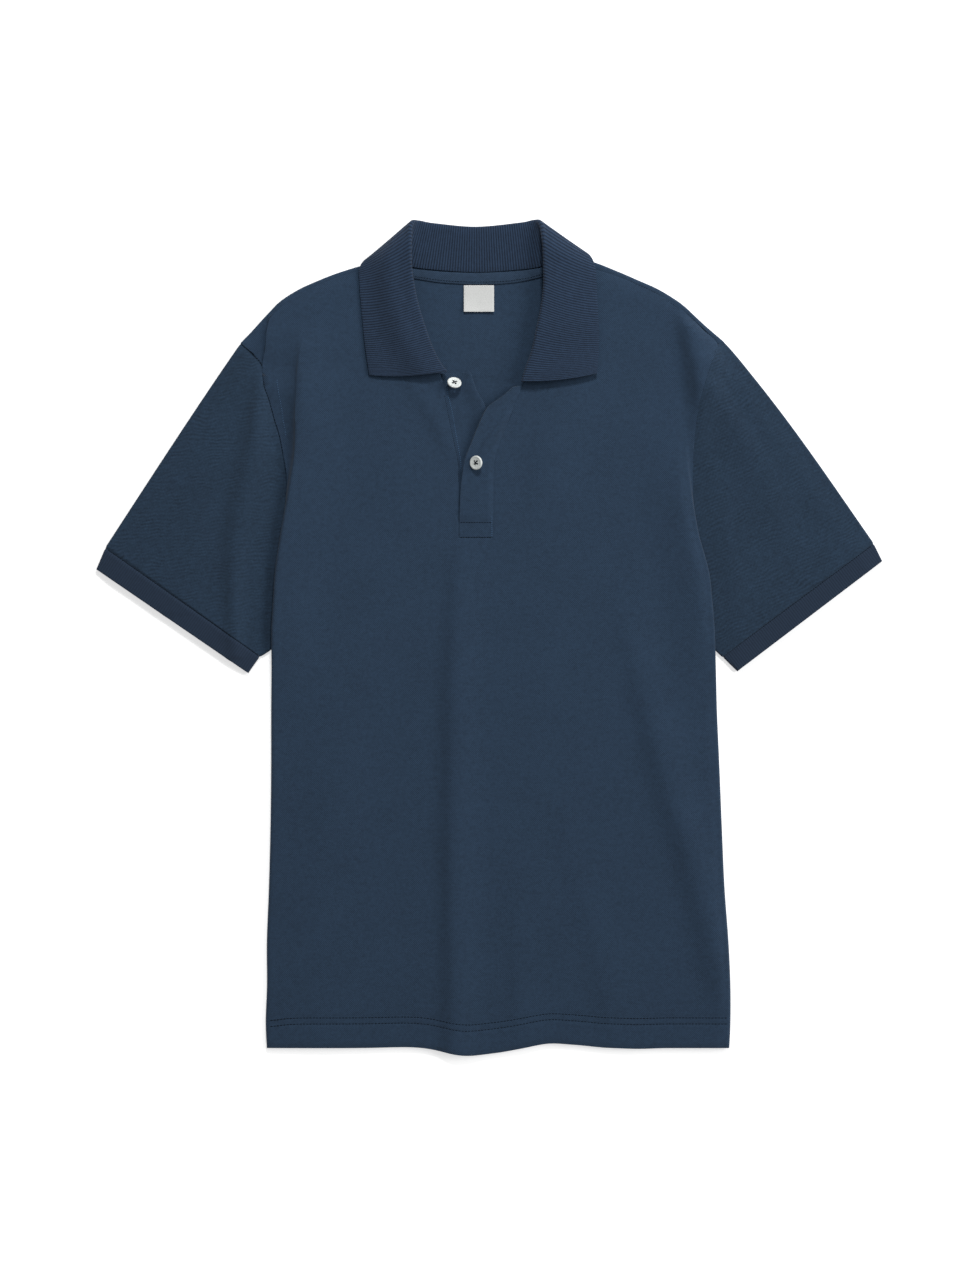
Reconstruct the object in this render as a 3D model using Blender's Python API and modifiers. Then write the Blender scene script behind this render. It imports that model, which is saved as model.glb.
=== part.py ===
"""Polo shirt laid flat on its back, face up.

Metres, +Z up, +X to the viewer's right, +Y towards the collar. The origin is
under the middle of the laid-out shirt, on the surface that it lies on. Tables
are in millimetres, and place() turns them into metres.
"""
import math

import bmesh
import bpy
from mathutils import Matrix, Vector

MM = 0.001

# Thickness of each cloth, in millimetres
PIQUE = 1.2
RIB = 1.5
FACING = 1.8
TAPE = 1.0
LABEL = 1.0
AIR = 0.35
SEAM_GAP = 0.5

# Heights of the middle of a layer, in millimetres
FLOOR_LAYER = PIQUE / 2
SLEEVE_LOW = 3.0
SLEEVE_PUFF = 2.0
SHOULDER_LEVEL = 3.3
FRONT_LEVEL = 4.6
SIDE_FALL_WIDTH = 55.0
SHOULDER_FALL_WIDTH = 16.0

# Rows of one front half, from the hem to the shoulder. seam: side seam, armhole or
# shoulder seam. edge: the line where the body folds over. neck: placket slit or neckline.
# bend: width of the turn at the edge. under: height of the seam when the cloth is turned
# under (0: it lies out on the sleeve level). bow: upward bow of the row.
ROW = ("seam_x", "seam_y", "edge_x", "edge_y", "neck_x", "neck_y", "bend", "under", "bow")
LEFT_ROWS = (
    (-196.5, -378.7, -204.6, -378.7, -27.8, -378.7, 3.0, 0.6, 0),
    (-197.0, -354.0, -205.6, -354.0, -27.8, -354.0, 3.0, 0.6, 0),
    (-196.0, -320.0, -204.4, -320.0, -27.8, -320.0, 3.0, 0.6, 0),
    (-196.0, -280.0, -204.5, -280.0, -27.8, -280.0, 3.0, 0.6, 0),
    (-194.5, -230.0, -202.6, -230.0, -27.8, -230.0, 3.0, 0.6, 0),
    (-193.0, -175.0, -201.2, -175.0, -27.8, -175.0, 3.0, 0.6, 0),
    (-192.5, -120.0, -200.6, -120.0, -27.8, -120.0, 3.0, 0.6, 0),
    (-191.5, -70.0, -200.6, -70.0, -27.8, -70.0, 3.0, 0.6, 0),
    (-187.0, -30.0, -200.1, -30.0, -27.8, -30.0, 3.0, 4.4, 0),
    (-177.0, 5.0, -199.2, 5.0, -27.8, 5.0, 2.5, 4.6, 0),
    (-169.3, 33.6, -197.5, 33.6, -27.8, 33.6, 2.5, 4.6, 0),
    (-171.0, 60.0, -196.1, 60.0, -27.8, 60.0, 2.5, 4.6, 0),
    (-178.0, 91.0, -192.4, 91.0, -27.8, 91.0, 2.5, 4.6, 0),
    (-184.6, 107.0, -189.7, 107.0, -27.8, 104.5, 2.5, 4.6, 0),
    (-186.5, 122.0, -187.3, 122.0, -27.8, 118.0, 2.5, 4.3, 0),
    (-186.3, 148.0, -183.5, 148.0, -27.8, 142.0, 2.5, 4.0, 0),
    (-189.5, 168.0, -181.1, 168.0, -28.0, 160.0, 2.6, 0, 0),
    (-193.0, 185.5, -179.4, 184.0, -30.8, 175.0, 3.0, 0, 0),
    (-197.4, 200.0, -178.8, 199.0, -34.2, 190.5, 3.8, 0, 0),
    (-201.8, 216.0, -178.7, 214.0, -37.6, 207.5, 4.8, 0, 0),
    (-207.0, 232.0, -178.7, 229.0, -40.8, 224.0, 6.0, 0, 0),
    (-208.6, 249.0, -178.8, 247.0, -44.5, 240.5, 7.6, 0, 0),
    (-205.8, 267.0, -179.4, 266.0, -64.0, 272.0, 9.5, 0, 1.5),
    (-204.6, 281.0, -180.0, 286.0, -80.0, 304.0, 12.0, 0, 3.0),
    (-202.0, 293.2, -181.0, 308.8, -89.0, 341.7, 12.0, 0, 4.2),
)
RIGHT_ROWS = (
    (213.0, -378.7, 221.3, -378.7, 3.9, -378.7, 3.0, 0.6, 0),
    (214.0, -354.0, 222.3, -354.0, 3.9, -354.0, 3.0, 0.6, 0),
    (213.8, -320.0, 222.2, -320.0, 3.9, -320.0, 3.0, 0.6, 0),
    (211.9, -280.0, 220.4, -280.0, 3.9, -280.0, 3.0, 0.6, 0),
    (208.8, -230.0, 216.8, -230.0, 3.9, -230.0, 3.0, 0.6, 0),
    (206.2, -175.0, 214.4, -175.0, 3.9, -175.0, 3.0, 0.6, 0),
    (204.0, -120.0, 212.2, -120.0, 3.9, -120.0, 3.0, 0.6, 0),
    (200.5, -70.0, 210.0, -70.0, 3.9, -70.0, 3.0, 0.6, 0),
    (195.0, -30.0, 208.7, -30.0, 3.9, -30.0, 2.4, 4.4, 0),
    (187.0, 5.0, 208.2, 5.0, 3.9, 5.0, 1.8, 4.6, 0),
    (180.0, 33.6, 206.6, 33.6, 3.9, 33.6, 1.8, 4.6, 0),
    (179.0, 60.0, 203.3, 60.0, 3.9, 60.0, 1.8, 4.6, 0),
    (182.0, 91.0, 194.8, 91.0, 3.9, 91.0, 1.8, 4.6, 0),
    (186.2, 107.0, 191.3, 107.0, 3.9, 104.5, 2.0, 4.6, 0),
    (187.4, 122.0, 188.2, 122.0, 3.9, 118.0, 2.5, 4.3, 0),
    (187.8, 148.0, 185.0, 148.0, 3.9, 142.0, 2.5, 4.0, 0),
    (188.2, 168.0, 183.6, 168.0, 4.5, 158.0, 2.8, 0, 0),
    (189.4, 185.5, 183.5, 184.0, 8.2, 174.0, 3.5, 0, 0),
    (191.0, 200.0, 184.0, 199.0, 13.5, 190.5, 5.0, 0, 0),
    (193.8, 216.0, 184.5, 214.0, 19.5, 206.0, 6.0, 0, 0),
    (198.0, 232.0, 184.3, 229.0, 26.0, 219.0, 7.0, 0, 0),
    (203.6, 250.0, 183.0, 247.0, 31.5, 232.0, 9.0, 0, 0),
    (210.3, 268.1, 179.0, 266.0, 46.0, 264.0, 11.0, 0, 1.5),
    (197.0, 282.3, 174.5, 284.6, 60.0, 299.0, 12.0, 0, 3.0),
    (181.6, 297.3, 168.0, 306.5, 66.0, 343.7, 12.0, 0, 4.4),
)
SLIT_ROW = 12
UNDERARM_ROW = 10
LEFT_ARMHOLE_TOP = 21
RIGHT_ARMHOLE_TOP = 22

# The rest of each armhole seam, from its front part up to the tip of the shoulder
LEFT_TIP = ((-217.6, 260.0), (-228.8, 270.2))
RIGHT_TIP = ((215.6, 271.9),)

# Shoulder outline and back neckline, left to right: x, y, how far the back's edge lies
# inside the line, and how far it rises towards the shoulder level (1) from the floor (0)
TOP_LINE = (
    (-228.8, 270.2, 3.2, 1), (-219.5, 279.9, 3.2, 1), (-211.0, 289.3, 3.2, 1),
    (-208.0, 292.6, 3.2, 1), (-204.5, 296.4, 3.2, 1), (-200.9, 300.2, 3.2, 1),
    (-191.4, 309.3, 3.2, 1), (-175.0, 319.6, 3.2, 1), (-159.2, 326.8, 3.2, 1),
    (-141.7, 333.8, 3.2, 1), (-119.0, 340.9, 3.2, 1), (-103.0, 344.2, 3.2, 1),
    (-94.0, 344.8, 1.6, 1), (-86.0, 343.4, -1.0, 0.55), (-78.0, 340.6, -2, 0),
    (-62.0, 337.0, -2, 0), (-40.0, 335.0, -2, 0), (-12.0, 334.0, -2, 0), (16.0, 335.0, -2, 0),
    (38.0, 337.0, -2, 0), (52.0, 340.2, -2, 0), (60.5, 344.2, -1.0, 0.55), (70.0, 347.4, 1.6, 1),
    (93.5, 345.4, 3.2, 1), (117.5, 336.5, 3.2, 1), (137.0, 328.1, 3.2, 1), (154.6, 320.3, 3.2, 1),
    (170.8, 310.7, 3.2, 1), (180.7, 303.3, 3.2, 1), (190.4, 294.2, 3.2, 1), (197.5, 287.5, 3.2, 1),
    (204.7, 281.2, 3.2, 1), (215.6, 271.9, 3.2, 1),
)
# Where the back's wider strip at the left shoulder ends, from the second point of TOP_LINE on
LEFT_STRIP = ((-217.0, 261.2), (-209.4, 252.2), (-206.7, 267.8), (-205.4, 281.6), (-202.6, 294.1))

# Sleeves: the cuff seam and the cuff's lower edge, outer end and inner end
LEFT_CUFF_SEAM = ((-353.6, 81.7), (-210.6, -18.6))
LEFT_CUFF_EDGE = ((-361.7, 62.0), (-221.6, -33.8))
RIGHT_CUFF_SEAM = ((353.8, 84.2), (215.0, -18.7))
RIGHT_CUFF_EDGE = ((361.7, 68.6), (229.0, -31.6))
# How far the outer edge of each sleeve bows out of a straight line, and how much more above its middle
OUTER_BOW = {"left": 1.0, "right": 3.7}
OUTER_BOW_SKEW = 0.45
# How far the inner end of each sleeve sags below a straight line
INNER_BOW = {"left": 9.0, "right": 6.5}

# Height of the body's side edges: y, left, right
SIDE_LEVEL = (
    (-378, 4.3, 4.3), (-70, 4.5, 4.4), (-30, 6.8, 6.8), (5, 8.0, 7.4), (120, 8.0, 7.2), (148, 8.0, 6.8),
    (168, 7.8, 6.0), (200, 7.6, 5.2), (232, 7.3, 4.8), (266, 6.6, 4.6), (290, 5.4, 4.6), (314, 4.6, 4.6),
)
# How a sleeve rises beside the body: y, start of the rise, its width, on the left and on the right
SLEEVE_RISE = ((150, 8, 24, -1, 28), (190, 12, 24, -16, 30), (250, 15, 24, -20, 32), (272, 2, 28, -20, 32))

# Folds of the front: y, x of the crest, height, width of its left side, width of its right side
FRONT_FOLDS = {
    "centre": ((-380, -32, 2.9, 11, 20), (-240, -33, 3.3, 11, 20), (-130, -33, 3.2, 11, 19),
               (-40, -32, 2.8, 11, 19), (20, -30, 1.9, 10, 18), (60, -28, 1.0, 9, 17), (90, -26, 0.0, 8, 15)),
    "right": ((-380, 226, 0.2, 9, 10), (-345, 219, 1.3, 11, 12), (-292, 207, 2.5, 12, 16),
              (-201, 186, 2.9, 12, 20), (-158, 171, 2.9, 12, 22), (-105, 157, 2.5, 12, 24),
              (-57, 144, 1.8, 12, 24), (-4, 130, 0.9, 11, 22), (34, 122, 0, 10, 20)),
    "low right": ((-380, 118, 0.8, 13, 24), (-320, 108, 1.1, 13, 24), (-230, 86, 1.0, 13, 24),
                  (-140, 60, 0, 13, 24)),
    "low middle": ((-380, 30, 0.8, 8, 16), (-300, 26, 0.8, 8, 16), (-220, 22, 0, 8, 14)),
    "left": ((-380, -160, 0.8, 24, 40), (-240, -156, 1.2, 26, 40), (-100, -150, 1.1, 26, 40),
             (20, -140, 0, 22, 34)),
    "left chest": ((160, -34, 0, 7, 9), (190, -45, 1.4, 7, 10), (226, -66, 1.0, 8, 14), (250, -84, 0, 8, 14)),
    "right chest": ((90, 50, 0, 16, 30), (170, 52, 1.5, 18, 34), (226, 64, 1.2, 18, 34),
                    (262, 80, 0, 16, 30)),
    "right shoulder": ((180, 187, 0, 8, 9), (203, 191, 2.2, 9, 12), (230, 196, 3.2, 9, 14),
                       (250, 194, 3.2, 9, 14), (272, 186, 2.2, 9, 12), (298, 177, 0, 8, 12)),
    "right flank": ((-40, 190, 0, 16, 14), (40, 192, 1.2, 18, 14), (120, 178, 1.2, 18, 14),
                    (180, 168, 0, 16, 14)),
}

# Folds of the sleeves, in the same way
SLEEVE_FOLDS = {
    "left sleeve": ((-20, -231, 1.0, 8, 10), (5, -231, 1.6, 9, 11), (88, -229, 2.2, 9, 11),
                    (144, -227, 2.2, 9, 11), (190, -219, 1.5, 9, 10), (226, -212, 0, 9, 9)),
    "left outer": ((20, -290, 0.5, 22, 20), (90, -278, 0.9, 22, 18), (160, -256, 0.6, 18, 16),
                   (210, -240, 0, 16, 14)),
    "right sleeve": ((60, 292, 0, 18, 14), (110, 270, 1.1, 18, 14), (170, 246, 1.7, 16, 14),
                     (220, 226, 1.7, 13, 12), (256, 214, 0, 10, 9)),
}

# Hem line: x of its middle, drop, width
HEM_WAVES = ((-20.0, -7.0, 30.0), (57.0, 4.0, 20.0))
HEM_WAVE_REACH = -230.0

# Sections across the collar, from the left end round the neck to the right end.
# lean: 0 the fall lies on top of the stand, 180 it lies under it, 90 it stands beside it.
# lift: how far the outer edge stands off what it lies on.
COLLAR = ("neck_x", "neck_y", "fold_x", "fold_y", "edge_x", "edge_y", "fold_z", "lift", "lean")
COLLAR_ROWS = (
    (-46.0, 244.0, -38.3, 243.4, -110.0, 240.4, 8.8, 0.5, 0),
    (-55.0, 257.0, -45.8, 254.0, -111.0, 247.0, 9.2, 0.4, 0),
    (-65.5, 273.0, -52.5, 268.0, -112.8, 259.0, 9.6, 0.3, 0),
    (-74.5, 291.0, -59.0, 286.6, -114.8, 275.0, 9.9, 0.2, 0),
    (-81.0, 307.0, -64.3, 304.0, -116.6, 293.0, 10.0, 0.2, 0),
    (-85.5, 322.0, -68.2, 322.0, -118.2, 312.0, 10.8, 0.3, 0),
    (-88.2, 333.5, -70.8, 343.0, -119.2, 328.0, 13.0, 0.6, 8),
    (-89.2, 340.5, -71.2, 364.0, -119.0, 339.0, 15.0, 1.4, 34),
    (-86.0, 345.6, -70.5, 380.0, -112.0, 347.5, 11.2, 1.0, 90),
    (-76.0, 342.0, -64.0, 382.5, -96.0, 351.5, 5.4, 0, 148),
    (-58.0, 338.6, -50.0, 380.5, -62.0, 347.0, 3.5, 0, 180),
    (-12.0, 335.6, -12.0, 377.3, -12.0, 345.0, 3.3, 0, 180),
    (34.0, 338.6, 28.0, 381.0, 40.0, 347.0, 3.5, 0, 180),
    (52.0, 342.0, 40.5, 383.0, 74.0, 354.0, 5.6, 0, 148),
    (63.0, 345.4, 46.5, 380.0, 90.0, 352.5, 11.2, 1.2, 90),
    (65.2, 341.0, 48.8, 364.0, 97.3, 341.0, 15.0, 2.0, 34),
    (64.5, 334.0, 49.4, 345.0, 98.4, 328.0, 13.8, 1.4, 8),
    (62.0, 320.0, 49.6, 322.0, 99.4, 310.0, 12.8, 1.2, 0),
    (58.0, 302.0, 47.4, 303.0, 100.5, 291.0, 12.3, 1.4, 0),
    (51.5, 283.0, 43.5, 284.0, 101.0, 275.0, 12.2, 1.8, 0),
    (43.5, 265.0, 39.0, 263.0, 100.6, 260.0, 11.8, 2.2, 0),
    (37.5, 250.0, 33.5, 247.5, 99.8, 249.0, 11.2, 2.6, 0),
    (34.0, 236.0, 29.4, 234.0, 99.4, 241.9, 10.6, 3.0, 0),
)
FOLD_RADIUS = 1.7
FOLD_RISE = 0.8
STAND_RISE = 2.0
COLLAR_SAG = 2.4
COLLAR_CROWN = 1.0
CORNER_ROWS = (6, 7, 8, 13, 14, 15)
FOLD_ANGLES = (-65, -25, 15, 52, 90)
FALL_STEPS = (0.25, 0.5, 0.75, 1)

# Upper placket facing, from the bottom up: free edge x, y, seam edge x, y, lift of the free edge
TOP_FACING = (
    (-27.0, 91.8, 3.1, 91.8, 0), (-27.0, 112.0, 3.1, 112.0, 0), (-26.2, 135.0, 3.1, 135.0, 0.2),
    (-22.8, 160.5, 3.7, 158.2, 0.5), (-17.5, 175.0, 7.4, 174.3, 0.9), (-9.8, 194.0, 12.8, 190.9, 1.4),
    (-1.8, 210.2, 18.8, 206.4, 2.0), (9.8, 218.9, 25.2, 219.6, 2.2), (22.5, 229.6, 29.9, 230.8, 1.5),
)
# Under facing: left edge x, y, right edge x, y
UNDER_FACING = (
    (-30.5, 96.5, -2.0, 96.5), (-30.5, 118.0, -2.0, 118.0), (-30.5, 142.0, -2.0, 142.0),
    (-30.8, 160.0, -2.2, 160.0), (-33.6, 175.0, -2.6, 178.0), (-37.0, 190.5, -2.8, 196.0),
    (-40.4, 207.5, -3.4, 211.5), (-43.4, 224.0, -11.5, 227.0), (-43.0, 242.0, -16.9, 243.6),
)

# Neck tape: x, upper edge y, lower edge y
TAPE_ROWS = (
    (-76.0, 338.0, 331.0), (-60.0, 336.0, 328.0), (-40.0, 334.2, 325.4), (-12.0, 333.2, 324.0),
    (16.0, 334.2, 325.0), (36.0, 336.0, 328.0), (52.0, 339.0, 332.0),
)
NECK_LABEL_SIZE = (27.8, 24.5)
NECK_LABEL_CENTRE = (-9.3, 311.2)

# Buttons: centre x, y, direction of the long axis as seen, tilt about it, both in degrees
BUTTON_DIAMETER = 13.2
BUTTON_THICKNESS = 2.6
BUTTON_HOLE = 1.7
BUTTON_HOLE_PITCH = 2.6
BUTTONS = {
    "button_top": (-31.9, 233.2, -15.0, -40.0, 9.2),
    "button_lower": (-11.8, 159.6, 96.0, -31.0, 11.2),
}

SIDE_COLUMNS_LEFT = 18
SIDE_COLUMNS_RIGHT = 22
SLIT_COLUMNS = 3
TURN_STEPS = (0, 0.15, 0.36, 0.5, 0.64, 0.82, 1)
KNEE = 4.0
TURN_BOW = {1: 0.68, -1: 0.25}
SLEEVE_RINGS = 8
CUFF_RINGS = 2
ROLL_ANGLES = (45, 90, 135)
BACK_ROLL_STEPS = (0, 0.28, 0.5, 0.75, 1)
BACK_ROLL_INSET = 3.4
BACK_ROLL_END = 0.7


# ---------------------------------------------------------------- numbers

def ease(t):
    """Smooth step from 0 to 1."""
    t = min(max(t, 0.0), 1.0)
    return t * t * (3 - 2 * t)


def mix(a, b, t):
    """The point or list of numbers a fraction t of the way from a to b."""
    return [p + (q - p) * t for p, q in zip(a, b)]


def look_up(rows, key):
    """The columns after the first at a key, linear between rows whose first column rises."""
    if key <= rows[0][0]:
        return rows[0][1:]
    for low, high in zip(rows, rows[1:]):
        if key <= high[0]:
            return mix(low[1:], high[1:], (key - low[0]) / (high[0] - low[0]))
    return rows[-1][1:]


def cubic(p, t):
    """The point at t on a cubic Bezier curve."""
    s = 1 - t
    weights = (s * s * s, 3 * s * s * t, 3 * s * t * t, t * t * t)
    return [sum(w * q[k] for w, q in zip(weights, p)) for k in range(len(p[0]))]


def through(rows, t):
    """The columns at t, where t counts rows, on a smooth curve through every row."""
    i = min(int(t), len(rows) - 2)
    f = t - i
    a, b, c, d = (rows[max(0, min(len(rows) - 1, i + k))] for k in (-1, 0, 1, 2))
    return [
        q + 0.5 * f * (r - p + f * (2 * p - 5 * q + 4 * r - s + f * (3 * (q - r) + s - p)))
        for p, q, r, s in zip(a, b, c, d)
    ]


def place(point):
    """A table point in millimetres as a vector in metres."""
    return Vector(point) * MM


# ---------------------------------------------------------------- heights of the layers

def edge_lines():
    """Where the body folds over at each side: rows of y, x."""
    return [[(row[3], row[2]) for row in rows] for rows in (LEFT_ROWS, RIGHT_ROWS)]


LEFT_EDGE, RIGHT_EDGE = edge_lines()
SHOULDER_LINE = [(x, y) for x, y, inside, rise in TOP_LINE if rise == 1]


def folds_at(folds, x, y):
    """Height that the folds add at a point."""
    total = 0.0
    for rows in folds.values():
        if rows[0][0] <= y <= rows[-1][0]:
            crest, height, rise, fall = look_up(rows, y)
            width = rise if x < crest else fall
            total += height * math.exp(-(((x - crest) / width) ** 2))
    return total


def below_shoulder(x, y):
    """Distance from the shoulder outline down to a point."""
    return look_up(SHOULDER_LINE, x)[0] - y


def front_level(x, y):
    """Height of the middle of the front's cloth."""
    left = max(0.0, x - look_up(LEFT_EDGE, y)[0])
    right = max(0.0, look_up(RIGHT_EDGE, y)[0] - x)
    side_level = look_up(SIDE_LEVEL, y)[0 if left < right else 1]
    lift = (side_level - FRONT_LEVEL) * (1 - ease(min(left, right) / SIDE_FALL_WIDTH))
    level = FRONT_LEVEL + lift + folds_at(FRONT_FOLDS, x, y)
    return SHOULDER_LEVEL + (level - SHOULDER_LEVEL) * ease(below_shoulder(x, y) / SHOULDER_FALL_WIDTH)


def line_distance(line, x, y):
    """Distance of a point inside a straight outline from it."""
    (x0, y0), (x1, y1) = line
    distance = ((x1 - x0) * (y0 - y) - (x0 - x) * (y1 - y0)) / math.hypot(x1 - x0, y1 - y0)
    return math.copysign(distance, distance * (x1 - x0))


def outer_bow(side, s):
    """How far a sleeve's outer edge bows out, a fraction s of the way down it."""
    return OUTER_BOW[side] * 4 * s * (1 - s) * (1 + OUTER_BOW_SKEW * (1 - 2 * s))


def sleeve_level(x, y):
    """Height of the middle of a sleeve's upper cloth, and of the front beside it."""
    rise = look_up(SLEEVE_RISE, y)
    if x < 0:
        body = look_up(LEFT_EDGE, y)[0] - x - rise[0]
        width = rise[1]
        outline = (LEFT_TIP[-1], LEFT_CUFF_SEAM[0])
        side = "left"
    else:
        body = x - look_up(RIGHT_EDGE, y)[0] - rise[2]
        width = rise[3]
        outline = (RIGHT_TIP[-1], RIGHT_CUFF_SEAM[0])
        side = "right"
    down = (outline[0][1] - y) / (outline[0][1] - outline[1][1])
    outer = line_distance(outline, x, y) + outer_bow(side, min(max(down, 0.0), 1.0))
    if y > outline[0][1]:
        outer = below_shoulder(x, y)
    puff = ease(outer / 22) * ease(body / width)
    return SLEEVE_LOW + puff * (SLEEVE_PUFF + folds_at(SLEEVE_FOLDS, x, y))


def hem_wave(x, y):
    """How far the hem's line dips or rises at x, fading upwards."""
    fade = 1 - ease((y + 378) / (HEM_WAVE_REACH + 378))
    return fade * sum(drop * math.exp(-(((x - middle) / width) ** 2)) for middle, drop, width in HEM_WAVES)


# ---------------------------------------------------------------- meshes

def grid_piece(name, columns, rows, point, wall, slot, closed=False, cut=None):
    """A wall of even thickness round a grid whose points point(column, row) places."""
    bm = bmesh.new()
    bmesh.ops.create_grid(bm, x_segments=columns, y_segments=rows, size=1)
    index = {}
    for vertex in bm.verts:
        column = round((vertex.co.x + 1) / 2 * columns)
        row = round((vertex.co.y + 1) / 2 * rows)
        index[vertex] = (column, row)
    if cut:
        doomed = [f for f in bm.faces if cut(*face_cell(f, index))]
        bmesh.ops.delete(bm, geom=doomed, context='FACES')
    for vertex in bm.verts:
        vertex.co = place(point(*index[vertex]))
    if closed:
        bmesh.ops.remove_doubles(bm, verts=bm.verts, dist=0.01 * MM)
    bmesh.ops.recalc_face_normals(bm, faces=bm.faces)
    bmesh.ops.dissolve_limit(bm, angle_limit=math.radians(0.2), verts=bm.verts, edges=bm.edges)
    mesh = bpy.data.meshes.new(name)
    bm.to_mesh(mesh)
    bm.free()
    piece = bpy.data.objects.new(name, mesh)
    PARTS.objects.link(piece)
    mesh.materials.append(MATERIALS[slot])
    solidify = piece.modifiers.new("wall", 'SOLIDIFY')
    solidify.thickness = wall * MM
    solidify.offset = 0
    return piece


def face_cell(face, index):
    """Lowest column and row of a grid face."""
    cells = [index[vertex] for vertex in face.verts]
    return min(c for c, r in cells), min(r for c, r in cells)


def make_material(name, colour, roughness):
    """A plain Principled material."""
    material = bpy.data.materials.new(name)
    material.use_nodes = True
    shader = material.node_tree.nodes["Principled BSDF"]
    shader.inputs["Base Color"].default_value = (*colour, 1)
    shader.inputs["Roughness"].default_value = roughness
    return material


# ---------------------------------------------------------------- front and back

def body_start(row, inward):
    """Where the flat body begins inside the turn at the edge: x, y."""
    seam_x, seam_y, edge_x, edge_y, neck_x, neck_y, bend, under, bow = row
    x = edge_x + inward * (PIQUE / 2 + bend)
    if under:
        return x, edge_y
    slope = (edge_y - seam_y) / (edge_x - seam_x)
    return x, edge_y + slope * (x - edge_x)


def turn_point(row, inward, q):
    """A point of the cloth that turns at the side, from the seam (0) to the body (1)."""
    seam_x, seam_y, edge_x, edge_y, neck_x, neck_y, bend, under, bow = row
    rim = edge_x + inward * PIQUE / 2
    body_x, body_y = body_start(row, inward)
    turned = min((seam_x - rim) * inward, KNEE)
    knee_x = rim + inward * turned
    bulge_x = rim - inward * (bend + turned) / 6
    body_z = front_level(body_x, body_y)
    seam_z = under or sleeve_level(seam_x, seam_y)
    if q == 0:
        return seam_x, seam_y, seam_z
    x, z = cubic(((knee_x, seam_z), (bulge_x, seam_z), (bulge_x, body_z), (body_x, body_z)), q)
    if not under:
        q = (x - seam_x) / (body_x - seam_x)
    y = seam_y + (body_y - seam_y) * q + bow * TURN_BOW[inward] * 4 * q * (1 - q)
    return x, y, z


def body_point(row, inward, s):
    """A point of the front between the neck or slit (0) and the side's turn (1)."""
    x, y = mix(row[4:6], body_start(row, inward), s)
    y += row[8] * 4 * s * (1 - s)
    return x, y, front_level(x, y)


def front_point(column, row):
    """Where a grid point of the front lies."""
    left, right = LEFT_ROWS[row], RIGHT_ROWS[row]
    turn = len(TURN_STEPS) - 1
    if column <= turn:
        point = turn_point(left, 1, TURN_STEPS[column])
    elif column <= turn + SIDE_COLUMNS_LEFT:
        point = body_point(left, 1, 1 - (column - turn) / SIDE_COLUMNS_LEFT)
    elif column < turn + SIDE_COLUMNS_LEFT + SLIT_COLUMNS:
        across = (column - turn - SIDE_COLUMNS_LEFT) / SLIT_COLUMNS
        x, y = mix(left[4:6], right[4:6], across)
        point = (x, y, front_level(x, y))
    elif column <= turn + SIDE_COLUMNS_LEFT + SLIT_COLUMNS + SIDE_COLUMNS_RIGHT:
        past = column - turn - SIDE_COLUMNS_LEFT - SLIT_COLUMNS
        point = body_point(right, -1, past / SIDE_COLUMNS_RIGHT)
    else:
        past = column - turn - SIDE_COLUMNS_LEFT - SLIT_COLUMNS - SIDE_COLUMNS_RIGHT
        point = turn_point(right, -1, TURN_STEPS[turn - past])
    x, y, z = point
    return x, y + hem_wave(x, y), z


def front_cut(column, row):
    """Whether a grid face lies in the placket slit."""
    first = len(TURN_STEPS) - 1 + SIDE_COLUMNS_LEFT
    return row >= SLIT_ROW and first <= column < first + SLIT_COLUMNS


def make_front():
    """The front, cut in one, with its slit, neckline and turned sides."""
    columns = 2 * (len(TURN_STEPS) - 1) + SIDE_COLUMNS_LEFT + SLIT_COLUMNS + SIDE_COLUMNS_RIGHT
    grid_piece("front", columns, len(LEFT_ROWS) - 1, front_point, PIQUE, "pique", cut=front_cut)


def seam_line(rows, armhole_top, tip, from_row=0):
    """Side seam and armhole from the hem or the underarm up to the tip of the shoulder."""
    return [row[0:2] for row in rows[from_row:armhole_top + 1]] + list(tip)


def back_sides():
    """The back's side lines, left and right, clear of the front's and sleeves' seams."""
    left = [(x + 2 * AIR, y) for x, y in seam_line(LEFT_ROWS, LEFT_ARMHOLE_TOP, LEFT_TIP)]
    right = [(x - 2 * AIR, y) for x, y in seam_line(RIGHT_ROWS, RIGHT_ARMHOLE_TOP, RIGHT_TIP)]
    return left, right


def top_direction(column):
    """Level direction in which the back's upper edge faces at a point of TOP_LINE."""
    if column == 0:
        return (Vector(LEFT_TIP[1]) - Vector(LEFT_TIP[0])).normalized()
    if column == len(TOP_LINE) - 1:
        return (Vector(RIGHT_TIP[0]) - Vector(RIGHT_ROWS[RIGHT_ARMHOLE_TOP][:2])).normalized()
    if TOP_LINE[column][3] < 1:
        return Vector((0, 1))
    sides = [column - 1, column + 1]
    for k in (0, 1):
        if TOP_LINE[sides[k]][3] < 1:
            sides[k] = column
    along = Vector(TOP_LINE[sides[1]][:2]) - Vector(TOP_LINE[sides[0]][:2])
    return Vector((-along.y, along.x)).normalized()


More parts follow.
